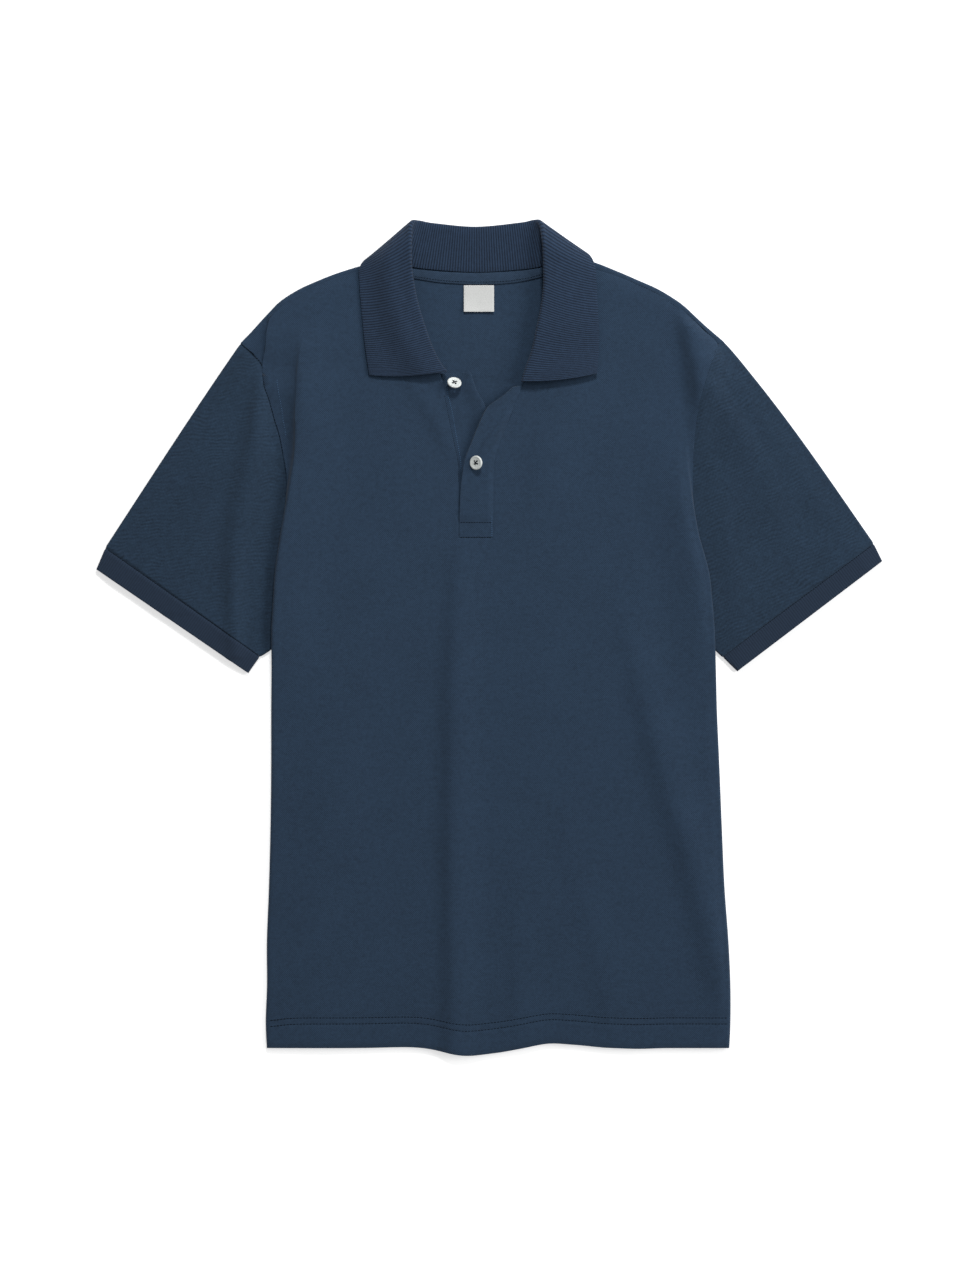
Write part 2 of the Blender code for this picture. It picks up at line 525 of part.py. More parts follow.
def back_point(column, row):
    """Where a grid point of the back lies: flat on the floor, then over the shoulder."""
    left, right = back_sides()
    last = len(left) - 1
    top_x, top_y, inside, rise = TOP_LINE[column]
    top = Vector((top_x, top_y))
    outward = top_direction(column)
    flat_top = top - outward * BACK_ROLL_INSET
    left[last] = Vector(TOP_LINE[0][:2]) - top_direction(0) * BACK_ROLL_INSET
    right[last] = Vector(TOP_LINE[-1][:2]) - top_direction(len(TOP_LINE) - 1) * BACK_ROLL_INSET
    u = column / (len(TOP_LINE) - 1)
    if row <= last:
        v = row / last
        side = mix(left[row], right[row], u)
        bottom = mix(left[0], right[0], u)
        crosswise = mix(bottom, flat_top, v)
        corner = mix(bottom, mix(left[last], right[last], u), v)
        x = crosswise[0] + side[0] - corner[0]
        y = crosswise[1] + side[1] - corner[1]
        return x, y + hem_wave(x, y), FLOOR_LAYER
    z = FLOOR_LAYER + (SHOULDER_LEVEL - FLOOR_LAYER) * rise
    if row - last == len(BACK_ROLL_STEPS):
        end = top - outward * inside
        if 1 <= column <= len(LEFT_STRIP):
            end = Vector(LEFT_STRIP[column - 1])
        return end.x, end.y, z
    arc_end = inside - math.copysign(BACK_ROLL_END, inside)
    out = top - outward * (PIQUE / 2 - (BACK_ROLL_INSET + arc_end) / 6)
    end = top - outward * arc_end
    curve = ((*flat_top, FLOOR_LAYER), (*out, FLOOR_LAYER), (*out, z), (*end, z))
    return cubic(curve, BACK_ROLL_STEPS[row - last])


def make_back():
    """The back, flat on the floor and wrapped over the shoulder line to the front's seam."""
    rows = len(back_sides()[0]) - 1 + len(BACK_ROLL_STEPS)
    grid_piece("back", len(TOP_LINE) - 1, rows, back_point, PIQUE, "pique")


# ---------------------------------------------------------------- sleeves and cuffs

def spread(points):
    """How far along a line each of its points is, from 0 to 1."""
    lengths = [0.0]
    for (x0, y0), (x1, y1) in zip(points, points[1:]):
        lengths.append(lengths[-1] + math.hypot(x1 - x0, y1 - y0))
    return [length / lengths[-1] for length in lengths]


def ring_of(line, wall, level):
    """A flattened ring of cloth: the upper layer along a line, rolled at both ends, then the lower."""
    low = wall / 2
    points = []
    for x, y in line:
        points.append((x, y, level(x, y)))
    for end, beside, order in ((-1, -2, 1), (0, 1, -1)):
        tip = Vector(line[end])
        away = (tip - Vector(line[beside])).normalized()
        top = level(*line[end])
        radius = (top - low) / 2
        for angle in ROLL_ANGLES:
            turn = math.radians(angle)
            out = tip + away * radius * math.sin(turn)
            height = low + radius + order * radius * math.cos(turn)
            points.append((out.x, out.y, height))
        if end == -1:
            points += [(x, y, low) for x, y in reversed(line)]
    return points


def make_tube(name, lines, wall, level, slot):
    """A flattened tube through rings along several lines."""
    rings = [ring_of(line, wall, level) for line in lines]
    around = len(rings[0])
    grid_piece(name, around, len(rings) - 1, lambda c, r: rings[r][c % around], wall, slot, closed=True)


def inset_ends(line, amount):
    """A line with both ends drawn in, so that the roll there reaches the outline."""
    line = [tuple(p) for p in line]
    for end, beside in ((0, 1), (-1, -2)):
        tip, inner = Vector(line[end]), Vector(line[beside])
        line[end] = tuple(tip + (inner - tip).normalized() * amount)
    return line


def make_sleeve(side, rows, armhole_top, tip, seam, edge):
    """A sleeve from its armhole to the cuff seam, and its rib cuff."""
    armhole = list(reversed(seam_line(rows, armhole_top, tip, UNDERARM_ROW)))
    along = spread(armhole)
    cuff_seam = [mix(*seam, t) for t in along]
    cuff_edge = [mix(*edge, t) for t in along]
    lines = []
    for ring in range(SLEEVE_RINGS + 1):
        line = []
        for a, c, t in zip(armhole, cuff_seam, along):
            start = SEAM_GAP / math.dist(a, c)
            s = start + (1 - start) * ring / SLEEVE_RINGS
            x, y = mix(a, c, s)
            bent = 4 * s * (1 - s)
            out = outer_bow(side, s) * (1 - t)
            line.append((x + math.copysign(out, x), y - INNER_BOW[side] * bent * t * t))
        lines.append(inset_ends(line, 1.8))
    make_tube(f"sleeve_{side}", lines, PIQUE, sleeve_level, "pique")

    def cuff_level(x, y):
        return sleeve_level(x, y) - 0.25

    cuff_lines = []
    start = SEAM_GAP / math.dist(seam[0], edge[0])
    for ring in range(CUFF_RINGS + 1):
        s = start + (1 - start) * ring / CUFF_RINGS
        cuff_lines.append(inset_ends([mix(a, b, s) for a, b in zip(cuff_seam, cuff_edge)], 2.0))
    make_tube(f"cuff_{side}", cuff_lines, RIB, cuff_level, "rib")


# ---------------------------------------------------------------- collar, plackets and trim

def collar_section(row):
    """Points across the collar: neck seam, stand, fold, fall, outer edge."""
    neck_x, neck_y, fold_x, fold_y, edge_x, edge_y, fold_z, lift, lean = row
    under = ease(lean / 180)
    over_neck = ease((lean - 90) / 90)
    step = PIQUE / 2 + AIR + RIB / 2
    neck_z = (front_level(neck_x, neck_y) + step) * (1 - over_neck) + (FLOOR_LAYER + step) * over_neck
    edge_z = (front_level(edge_x, edge_y) + step) * (1 - under) + (RIB / 2 + 0.1) * under + lift
    neck = Vector((neck_x, neck_y, neck_z))
    edge = Vector((edge_x, edge_y, edge_z))
    middle = (neck + edge) / 2
    angle = math.radians(lean)
    over = max(0.0, math.cos(angle))
    level = Vector((fold_x - middle.x, fold_y - middle.y, 0)).normalized()
    beside = Vector((-level.y, level.x, 0))
    if beside.dot(edge - neck) < 0:
        beside = -beside
    outward = (level + Vector((0, 0, FOLD_RISE * math.sin(angle)))).normalized()
    upright = outward.cross(beside)
    if upright.z < 0:
        upright = -upright
    to_fall = upright * math.cos(angle) + beside * math.sin(angle)
    centre = Vector((fold_x, fold_y, fold_z)) - outward * (RIB / 2 + FOLD_RADIUS)
    arc = []
    for degrees in FOLD_ANGLES:
        turn = math.radians(degrees)
        arc.append(centre + (outward * math.cos(turn) + to_fall * math.sin(turn)) * FOLD_RADIUS)
    upswing = Vector((0, 0, STAND_RISE * math.sin(angle) ** 2))
    points = [neck, (neck + arc[0]) / 2 + upswing] + arc
    for t in FALL_STEPS:
        bow = Vector((0, -COLLAR_SAG * over, COLLAR_CROWN * over)) * 4 * t * (1 - t)
        points.append(arc[-1].lerp(edge, t) + bow)
    return points


def make_collar():
    """The one-piece knitted collar, folded along its roll line."""
    stations = []
    for row in range(len(COLLAR_ROWS) - 1):
        steps = 4 if row in CORNER_ROWS else 2
        stations += [row + k / steps for k in range(steps)]
    stations.append(len(COLLAR_ROWS) - 1)
    sections = [collar_section(through(COLLAR_ROWS, t)) for t in stations]
    grid_piece("collar", len(sections) - 1, len(sections[0]) - 1, lambda c, r: sections[c][r], RIB, "rib")


def make_facing(name, rows, columns, height):
    """A doubled strip of the placket, between its two edges."""

    def point(column, row):
        left_x, left_y, right_x, right_y, *lift = rows[row]
        across = column / columns
        x, y = mix((left_x, left_y), (right_x, right_y), across)
        raised = lift[0] * (1 - across) ** 2 if lift else 0
        return x, y, front_level(x, y) + height + raised

    grid_piece(name, columns, len(rows) - 1, point, FACING, "pique")


def make_tape():
    """The tape that covers the back neck seam."""

    def point(column, row):
        x, upper, lower = TAPE_ROWS[column]
        y = lower + (upper - lower) * row / 2
        crown = 0.25 if row == 1 else 0
        return x, y, PIQUE + AIR + TAPE / 2 + crown

    grid_piece("neck_tape", len(TAPE_ROWS) - 1, 2, point, TAPE, "tape")


def make_label():
    """A plain woven label below the tape."""
    x, y = NECK_LABEL_CENTRE
    width, length = NECK_LABEL_SIZE
    z = PIQUE + AIR + LABEL / 2

    def point(column, row):
        return x + width * (column - 0.5), y + length * (row - 0.5), z

    grid_piece("neck_label", 1, 1, point, LABEL, "label")


def button_profile():
    """Half section of a button with a raised rim: radius, height."""
    r = BUTTON_DIAMETER / 2
    t = BUTTON_THICKNESS
    return ((0, t * 0.62), (r * 0.55, t * 0.62), (r * 0.72, t * 0.95), (r * 0.88, t),
            (r, t * 0.62), (r * 0.95, t * 0.25), (r * 0.75, 0), (0, 0))


def make_button(name, x, y, long_axis, tilt, height):
    """A four-hole button, turned and drilled, tilted about its long axis as seen."""
    bm = bmesh.new()
    profile = [bm.verts.new((r * MM, 0, z * MM)) for r, z in button_profile()]
    edges = [bm.edges.new(pair) for pair in zip(profile, profile[1:])]
    bmesh.ops.spin(bm, geom=profile + edges, cent=(0, 0, 0), axis=(0, 0, 1),
                   angle=2 * math.pi, steps=20, use_merge=True)
    bmesh.ops.remove_doubles(bm, verts=bm.verts, dist=0.01 * MM)
    bmesh.ops.recalc_face_normals(bm, faces=bm.faces)
    mesh = bpy.data.meshes.new(name)
    bm.to_mesh(mesh)
    bm.free()
    mesh.materials.append(MATERIALS["button"])
    button = bpy.data.objects.new(name, mesh)
    PARTS.objects.link(button)

    drill = bmesh.new()
    for corner in range(4):
        turn = math.radians(45 + 90 * corner)
        reach = BUTTON_HOLE_PITCH / math.sqrt(2) * MM
        spot = Matrix.Translation((reach * math.cos(turn), reach * math.sin(turn), BUTTON_THICKNESS / 2 * MM))
        bmesh.ops.create_cone(drill, cap_ends=True, segments=8, radius1=BUTTON_HOLE / 2 * MM,
                              radius2=BUTTON_HOLE / 2 * MM, depth=3 * BUTTON_THICKNESS * MM, matrix=spot)
    drill_mesh = bpy.data.meshes.new(name + "_holes")
    drill.to_mesh(drill_mesh)
    drill.free()
    holes = bpy.data.objects.new(name + "_holes", drill_mesh)
    holes.hide_render = True
    holes.display_type = 'WIRE'
    CUTTERS.objects.link(holes)
    cut = button.modifiers.new("holes", 'BOOLEAN')
    cut.operation = 'DIFFERENCE'
    cut.object = holes

    pose = (Matrix.Translation(place((x, y, height)))
            @ Matrix.Rotation(math.radians(long_axis), 4, 'Z')
            @ Matrix.Rotation(math.radians(tilt), 4, 'X')
            @ Matrix.Translation((0, 0, -BUTTON_THICKNESS / 2 * MM)))
    button.matrix_world = pose
    holes.matrix_world = pose


# ---------------------------------------------------------------- the shirt

for old in list(bpy.data.objects):
    bpy.data.objects.remove(old, do_unlink=True)

PARTS = bpy.data.collections.new("polo_shirt")
CUTTERS = bpy.data.collections.new("polo_shirt_cutters")
for group in (PARTS, CUTTERS):
    bpy.context.scene.collection.children.link(group)

MATERIALS = {
    "pique": make_material("pique", (0.026, 0.044, 0.074), 0.85),
    "rib": make_material("rib", (0.027, 0.047, 0.08), 0.85),
    "tape": make_material("tape", (0.03, 0.05, 0.082), 0.8),
    "label": make_material("label", (0.72, 0.73, 0.7), 0.6),
    "button": make_material("button", (0.78, 0.8, 0.77), 0.25),
}

make_front()
make_back()
make_sleeve("left", LEFT_ROWS, LEFT_ARMHOLE_TOP, LEFT_TIP, LEFT_CUFF_SEAM, LEFT_CUFF_EDGE)
make_sleeve("right", RIGHT_ROWS, RIGHT_ARMHOLE_TOP, RIGHT_TIP, RIGHT_CUFF_SEAM, RIGHT_CUFF_EDGE)
make_collar()
make_facing("placket_top", TOP_FACING, 4, 0.8)
make_facing("placket_under", UNDER_FACING, 3, -1.9)
make_tape()
make_label()
for button_name, (bx, by, axis, lean, centre) in BUTTONS.items():
    make_button(button_name, bx, by, axis, lean, centre)
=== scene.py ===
"""Polo shirt laid flat and face up: the looks of its cloth, sewing, label and buttons.

Metres, +Z up, +X to the viewer's right, +Y towards the collar. Tables are in
millimetres, and place() turns them into metres.
"""

import math

import bmesh
import bpy
from mathutils import Matrix, Vector, noise


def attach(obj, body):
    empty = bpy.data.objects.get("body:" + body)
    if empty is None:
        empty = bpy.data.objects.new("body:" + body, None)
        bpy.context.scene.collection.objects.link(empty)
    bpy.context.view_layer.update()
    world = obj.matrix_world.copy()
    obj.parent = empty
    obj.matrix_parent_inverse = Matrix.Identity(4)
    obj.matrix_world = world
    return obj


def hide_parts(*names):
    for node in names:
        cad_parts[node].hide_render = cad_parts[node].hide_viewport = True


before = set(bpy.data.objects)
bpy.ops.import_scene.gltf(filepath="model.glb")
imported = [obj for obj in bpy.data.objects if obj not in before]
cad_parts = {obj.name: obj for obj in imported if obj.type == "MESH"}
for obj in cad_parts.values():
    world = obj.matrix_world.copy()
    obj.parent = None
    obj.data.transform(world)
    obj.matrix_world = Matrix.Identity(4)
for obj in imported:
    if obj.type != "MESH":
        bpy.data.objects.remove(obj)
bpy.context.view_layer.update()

MM = 0.001

# Thickness of each cloth, and the air between two layers
PIQUE = 1.2
RIB = 1.5
FACING = 1.6
TAPE = 0.8
LABEL = 0.5
AIR = 0.35

# Heights of the middle of a layer, and the widths over which a layer comes down to an edge
FLOOR_LAYER = PIQUE / 2
SLEEVE_LOW = 3.0
SLEEVE_PUFF = 2.0
PUFF_WIDTH = 22
SHOULDER_LEVEL = 3.3
FRONT_LEVEL = 4.6
SIDE_FALL_WIDTH = 55.0
SHOULDER_FALL_WIDTH = 16.0

# The slight lie of the knit: height, reach across, reach along, place in the noise
UNEVENNESS = ((0.2, 60, 85, 1.7), (0.1, 22, 30, 5.2))


def level_rows(neck_x, rows):
    """Rows of a front half that lie level, from x of the seam and of the edge, y, bend and under."""
    return tuple((seam, y, edge, y, neck_x, y, bend, under, 0) for seam, edge, y, bend, under in rows)


# Rows of one front half, from the hem to the shoulder: x and y of the seam (side seam,
# armhole or shoulder seam), of the edge where the body folds over, and of the neck (placket
# slit or neckline), then bend, the width of the turn at the edge, under, the height of the
# seam when the cloth is turned under (0: it lies out on the sleeve), and bow, the row's
# upward bow. The rows up to the slit lie level.
LEFT_ROWS = level_rows(-27.8, (
    (-196.5, -204.6, -378.7, 3, 0.6), (-197, -205.6, -354, 3, 0.6), (-196, -204.4, -320, 3, 0.6),
    (-196, -204.5, -280, 3, 0.6), (-194.5, -202.6, -230, 3, 0.6), (-193, -201.2, -175, 3, 0.6),
    (-192.5, -200.6, -120, 3, 0.6), (-191.5, -200.6, -70, 3, 0.6), (-187, -200.1, -30, 3, 4.4),
    (-177, -200.2, 5, 2.5, 4.6), (-169.3, -198.7, 33.6, 2.5, 4.6), (-171, -196.9, 60, 2.5, 4.6),
    (-178, -192.4, 91, 2.5, 4.6),
)) + (
    (-184.6, 107, -189.7, 107, -27.8, 104.5, 2.5, 4.6, 0),
    (-186.5, 122, -187.3, 122, -27.8, 118, 2.5, 4.3, 0),
    (-186.3, 148, -183.5, 148, -27.8, 142, 2.5, 4, 0),
    (-189.5, 168, -181.1, 168, -28, 160, 2.2, 0, 0),
    (-193, 185.5, -180.6, 184, -30.8, 175, 2.2, 0, 0),
    (-197.4, 200, -181, 199, -34.2, 190.5, 2.4, 0, 0),
    (-201.8, 216, -181, 214, -37.6, 207.5, 2.8, 0, 0),
    (-207, 232, -180.8, 229, -40.8, 224, 3.4, 0, 0),
    (-208.6, 249, -180.6, 247, -44.5, 240.5, 4.2, 0, 0),
    (-205.8, 267, -179.4, 266, -64, 272, 6, 0, 1.5),
    (-204.6, 281, -180, 286, -80, 304, 12, 0, 3),
    (-202, 293.2, -181, 308.8, -89, 341.7, 12, 0, 4.2),
)
RIGHT_ROWS = level_rows(3.9, (
    (213, 221.3, -378.7, 3, 0.6), (214, 222.3, -354, 3, 0.6), (213.8, 222.2, -320, 3, 0.6),
    (211.9, 220.4, -280, 3, 0.6), (208.8, 216.8, -230, 3, 0.6), (206.2, 214.4, -175, 3, 0.6),
    (204, 212.2, -120, 3, 0.6), (200.5, 210, -70, 3, 0.6), (195, 208.7, -30, 2.2, 4.4),
    (187, 207.6, 5, 2.4, 4.6), (180, 205.3, 33.6, 2.4, 4.6), (179, 202.3, 60, 2.4, 4.6),
    (182, 193.8, 91, 2.2, 4.6),
)) + (
    (186.2, 107, 190.6, 107, 3.9, 104.5, 2, 4.6, 0),
    (187.4, 122, 188.2, 122, 3.9, 118, 1.8, 4.3, 0),
    (187.8, 148, 185, 148, 3.9, 142, 1.8, 4, 0),
    (188.2, 168, 183.6, 168, 4.5, 158, 2.8, 0, 0),
    (189.4, 185.5, 183.5, 184, 8.2, 174, 3.5, 0, 0),
    (191, 200, 184, 199, 13.5, 190.5, 5, 0, 0),
    (193.8, 216, 184.5, 214, 19.5, 206, 6, 0, 0),
    (198, 232, 184.3, 229, 26, 219, 7, 0, 0),
    (203.6, 250, 183, 247, 31.5, 232, 9, 0, 0),
    (210.3, 268.1, 179, 266, 46, 264, 11, 0, 1.5),
    (197, 282.3, 174.5, 284.6, 60, 299, 12, 0, 3),
    (181.6, 297.3, 168, 306.5, 66, 343.7, 12, 0, 4.4),
)
# Rows where the slit starts, where the underarm lies and where each armhole meets the shoulder
SLIT_ROW = 12
UNDERARM_ROW = 10
LEFT_ARMHOLE_TOP = 21
RIGHT_ARMHOLE_TOP = 22
# Height of the seam where it crosses the body's edge
SEAM_LEVEL_AT_CROSSING = 4.0

# The rest of each armhole seam, from its front part up to the tip of the shoulder
LEFT_TIP = ((-217.6, 260), (-228.8, 270.2))
RIGHT_TIP = ((215.6, 271.9),)

# Shoulder outline and back neckline, left to right: x, y, how far the back's edge lies
# inside the line, and how far it rises towards the shoulder level (1) from the floor (0)
TOP_LINE = (
    (-228.8, 270.2, 3.2, 1), (-219.5, 279.9, 3.2, 1), (-211, 289.3, 3.2, 1),
    (-208, 292.6, 3.2, 1), (-204.5, 296.4, 3.2, 1), (-200.9, 300.2, 3.2, 1),
    (-191.4, 309.3, 3.2, 1), (-175, 319.6, 3.2, 1), (-159.2, 326.8, 3.2, 1),
    (-141.7, 333.8, 3.2, 1), (-119, 340.9, 3.2, 1), (-103, 344.2, 3.2, 1),
    (-94, 344.8, 1.6, 1), (-86, 343.4, -1, 0.55), (-78, 340.6, -3.6, 0),
    (-62, 337, -3.6, 0), (-40, 335, -3.6, 0), (-12, 334, -3.6, 0), (16, 335, -3.6, 0),
    (38, 337, -3.6, 0), (52, 340.2, -3.6, 0), (60.5, 344.2, -1, 0.55), (70, 347.4, 1.6, 1),
    (93.5, 345.4, 3.2, 1), (117.5, 336.5, 3.2, 1), (137, 328.1, 3.2, 1), (154.6, 320.3, 3.2, 1),
    (170.8, 310.7, 3.2, 1), (180.7, 303.3, 3.2, 1), (190.4, 294.2, 3.2, 1), (197.5, 287.5, 3.2, 1),
    (204.7, 281.2, 3.2, 1), (215.6, 271.9, 3.2, 1),
)
# How much further the back's strip reaches inside the shoulder seam
SEAM_CLOSE = 0.4
# Where the back's wider strip at the left shoulder ends, from the second point of TOP_LINE on
LEFT_STRIP = ((-217.2, 260.8), (-208.8, 250), (-206, 267.6), (-204.8, 281.3), (-202.2, 293.8))
# Where its strip at the right shoulder ends, up to the last point of TOP_LINE
RIGHT_STRIP = ((188.8, 290.9), (196.7, 283.8), (204.5, 276.2), (211, 268.4))

# Sleeves: the cuff seam and the cuff's lower edge, outer end and inner end
LEFT_CUFF_SEAM = ((-353.6, 81.7), (-210.6, -18.6))
LEFT_CUFF_EDGE = ((-361.7, 62), (-221.6, -33.8))
RIGHT_CUFF_SEAM = ((354.6, 85.4), (215, -18.7))
RIGHT_CUFF_EDGE = ((362.2, 69.6), (229, -31.6))
# How far the outer edge of each sleeve bows out, and how much more above its middle
OUTER_BOW = {"left": 1.0, "right": 4.4}
OUTER_BOW_SKEW = 0.45
# How far the inner end of each sleeve sags below a straight line
INNER_BOW = {"left": 9.0, "right": 6.5}

# Height of the body's side edges: y, left, right
SIDE_LEVEL = (
    (-378, 4.3, 4.8), (-70, 4.5, 4.9), (-30, 7.2, 7), (5, 9.2, 8.3), (120, 9.2, 8.3), (148, 9.2, 7.4),
    (168, 9, 6.2), (200, 8.9, 5), (232, 8.8, 4.2), (266, 7.6, 4), (290, 5.6, 4.4), (314, 4.6, 4.6),
)
# How far the body falls towards its right edge: y, fall
RIGHT_RIM = ((-380, 1.2), (-70, 1.2), (-30, 0.4), (5, 1.5), (60, 2.3), (120, 2.1), (190, 0.6), (230, 0))
RIM_WIDTH = 12.0
# How a sleeve rises beside the body: y, start of the rise, its width, on the left and on the right
SLEEVE_RISE = (
    (40, 17, 22, -1, 28), (100, 13, 22, -1, 28), (150, 9, 24, -1, 28), (190, 12, 24, -16, 30),
    (250, 15, 24, -20, 32), (272, 2, 28, -20, 32),
)
# How the left sleeve sinks just beside the body: y, depth, distance from the body's edge, width
SLEEVE_HOLLOW = (
    (-30, 0, 7, 7), (0, 1.8, 7, 7), (110, 1.8, 7, 7), (150, 1.3, 8, 7), (180, 0.6, 12, 8),
    (216, 0.6, 20, 9), (249, 0.6, 27, 9), (268, 0, 27, 9),
)

# Folds of the front: y, x of the crest, height, width of its left side, width of its right side
FRONT_FOLDS = {
    "centre": ((-380, -32, 3.6, 11, 19), (-240, -33, 4.4, 11, 19), (-130, -33, 4.4, 11, 19),
               (-40, -32, 4, 11, 18), (20, -30, 3.1, 10, 18), (60, -28, 2, 9, 17), (92, -26, 0, 8, 15)),
    "right": ((-380, 226, 0.3, 11, 10), (-345, 219, 1.8, 13, 12), (-292, 207, 3.5, 15, 16),
              (-201, 186, 4.4, 15, 20), (-158, 171, 4.5, 15, 22), (-105, 157, 4.1, 15, 24),
              (-57, 144, 3.1, 14, 24), (-4, 130, 1.5, 12, 22), (34, 122, 0, 10, 20)),
    "low right": ((-380, 118, 0.8, 13, 24), (-320, 108, 1.1, 13, 24), (-230, 86, 1.0, 13, 24),
                  (-140, 60, 0, 13, 24)),
    "low middle": ((-380, 30, 0.8, 8, 16), (-300, 26, 0.8, 8, 16), (-220, 22, 0, 8, 14)),
    "left": ((-380, -160, 0.8, 24, 40), (-240, -156, 1.2, 26, 40), (-100, -150, 1.1, 26, 40),
             (20, -140, 0, 22, 34)),
    "left chest": ((160, -34, 0, 7, 9), (190, -45, 1.4, 7, 10), (226, -66, 1.0, 8, 14), (250, -84, 0, 8, 14)),
    "right chest": ((90, 50, 0, 16, 30), (170, 52, 1.5, 18, 34), (226, 64, 1.2, 18, 34),
                    (262, 80, 0, 16, 30)),
    "left shoulder": ((160, -172, 0, 7, 16), (200, -171, 1.3, 7, 18), (240, -171, 1.4, 7, 18),
                      (284, -172, 0, 7, 16)),
    "right flank": ((-40, 190, 0, 16, 14), (40, 192, 1.2, 18, 14), (120, 178, 1.2, 18, 14),
                    (180, 168, 0, 16, 14)),
}

# Folds that run over the armhole seams, in the same way
ARMHOLE_FOLDS = {
    "right shoulder": ((170, 190, 0, 9, 12), (190, 194, 1.4, 9, 14), (210, 196, 3.4, 9, 18),
                       (230, 194.5, 6, 9, 23), (250, 191.5, 6.8, 9, 24), (270, 187, 6.2, 9, 21),
                       (285, 183.5, 5, 9, 17), (300, 180, 1.6, 8, 13), (308, 178, 0, 8, 12)),
}

# Folds of the sleeves, in the same way
SLEEVE_FOLDS = {
    "left sleeve": ((-20, -231, 1.8, 8, 10), (5, -231, 3.0, 9, 11), (60, -236, 3.0, 9, 12),
                    (100, -233, 3, 9, 12), (144, -225, 3.4, 9, 13), (180, -217, 4, 9, 16),
                    (204, -213, 4.4, 8, 18), (228, -207, 4, 8, 16), (252, -203, 0, 8, 12)),
    "left outer": ((20, -290, 0.5, 22, 20), (90, -278, 0.9, 22, 18), (160, -256, 0.6, 18, 16),
                   (210, -240, 0, 16, 14)),
    "right sleeve": ((60, 285, 0, 20, 14), (110, 264, 1.1, 22, 14), (160, 246, 1.6, 24, 13),
                     (200, 222, 1.9, 20, 12), (226, 208, 1.7, 12, 11), (246, 198, 0, 10, 10)),
}

# Waves of the hem's line: x of the middle, rise, width. They fade out up to HEM_WAVE_REACH.
HEM_WAVES = ((-68, 1.1, 32), (-20, -7.0, 30), (13, -1.5, 17), (57, 4.0, 20), (84, 1.9, 18), (138, -0.7, 16))
HEM_WAVE_REACH = -230
HEM_Y = -378

# The hem's two rows of stitches: y of each, x of their ends
HEM_STITCHES = (-350.8, -356.4)
HEM_STITCH_ENDS = (-201.5, 219.5)
# How deep each row draws the cloth in, over which width
HEM_DRAW = 0.5
HEM_DRAW_WIDTH = 1.2
# How full the hem is below them, and the width over which it fills
HEM_FULLNESS = 0.1
HEM_FULL_WIDTH = 3
# Depth and width of the roll at its edge
HEM_ROLL = (0.9, 2.6)
# How far the rows dip at the left end, where, over which width
HEM_END_DIP = (2.6, -206, 18)

# Sections across the collar, from the left end round the neck to the right end: x and y of
# the neck seam, of the fold and of the outer edge, the height of the fold, lift, how far the
# outer edge stands off what it lies on, and lean: 0 the fall lies on top of the stand, 180 it
# lies under it, 90 it stands beside it.
COLLAR_ROWS = (
    (-46, 244, -38.3, 243.4, -110, 240.4, 8.8, 0.5, 0),
    (-55, 257, -45.8, 254, -111, 247, 9.2, 0.4, 0),
    (-65.5, 273, -52.5, 268, -112.8, 259, 9.6, 0.3, 0),
    (-74.5, 291, -59, 286.6, -114.8, 275, 9.9, 0.2, 0),
    (-81, 307, -64.3, 304, -116.6, 293, 10, 0.2, 0),
    (-85.5, 322, -68.2, 322, -118.2, 312, 10.8, 0.3, 0),
    (-88.2, 333.5, -70.8, 343, -119.2, 328, 13, 0.6, 8),
    (-89.2, 340.5, -71.2, 364, -119, 339, 15, 1.4, 34),
    (-86, 345.6, -70.5, 380, -112, 347.5, 11.2, 1, 90),
    (-76, 342, -64, 382.5, -96, 351.5, 5.4, 0, 148),
    (-58, 338.6, -50, 380.5, -62, 347, 3.5, 0, 180),
    (-12, 335.6, -12, 377.3, -12, 345, 3.3, 0, 180),
    (34, 338.6, 28, 381, 40, 347, 3.5, 0, 180),
    (52, 342, 40.5, 383, 74, 354, 5.6, 0, 148),
    (63, 345.4, 46.5, 380, 90, 352.5, 11.2, 1.2, 90),
    (65.2, 341, 48.8, 364, 97.3, 341, 15, 2, 34),
    (64.5, 334, 49.4, 345, 98.4, 328, 13.8, 1.4, 8),
    (62, 320, 49.6, 322, 99.4, 310, 12.8, 1.2, 0),
    (58, 302, 47.4, 303, 100.5, 291, 12.3, 1.4, 0),
    (51.5, 283, 43.5, 284, 101, 275, 12.2, 1.8, 0),
    (43.5, 265, 39, 263, 100.6, 260, 11.8, 2.2, 0),
    (37.5, 250, 33.5, 247.5, 99.8, 249, 11.2, 2.6, 0),
    (34, 236, 29.4, 234, 99.4, 241.9, 10.6, 3, 0),
)
# Radius of the fold, how it tips up where the collar stands, and the bulge of the stand there
FOLD_RADIUS = 1.7
FOLD_RISE = 0.8
STAND_RISE = 2.0
# How high the outer edge lies where the fall lies under the stand
UNDER_GAP = 0.1
# How far the fall sags towards the hem and how far it arches up
COLLAR_SAG = 2.4
COLLAR_CROWN = 1.0
# Soft wave along the left fall: its place across at the end and further up, the distance over
# which it moves, half its width, its rise and its dip
BAND_LOW = 0.42
BAND_HIGH = 0.62
BAND_REACH = 85.0
BAND_HALF = 0.2
BAND_RISE = 2.1
BAND_DIP = 0.9

# Upper placket facing, from the bottom up: free edge x, y, seam edge x, y, lift of the free edge
TOP_FACING = (
    (-27.5, 91.1, 3.8, 91.1, 0), (-27.3, 112, 3.8, 112, 0), (-26.2, 135, 3.8, 135, 0.3),
    (-22.8, 160.5, 4.3, 158.2, 0.9), (-17.5, 175, 8, 174.3, 1.7), (-9.8, 194, 13.3, 190.7, 2.7),
    (-1.8, 210.2, 19.2, 206.2, 3.5), (9.8, 218.9, 25.2, 219.6, 3.2), (22.5, 229.6, 29.9, 230.8, 1.8),
)
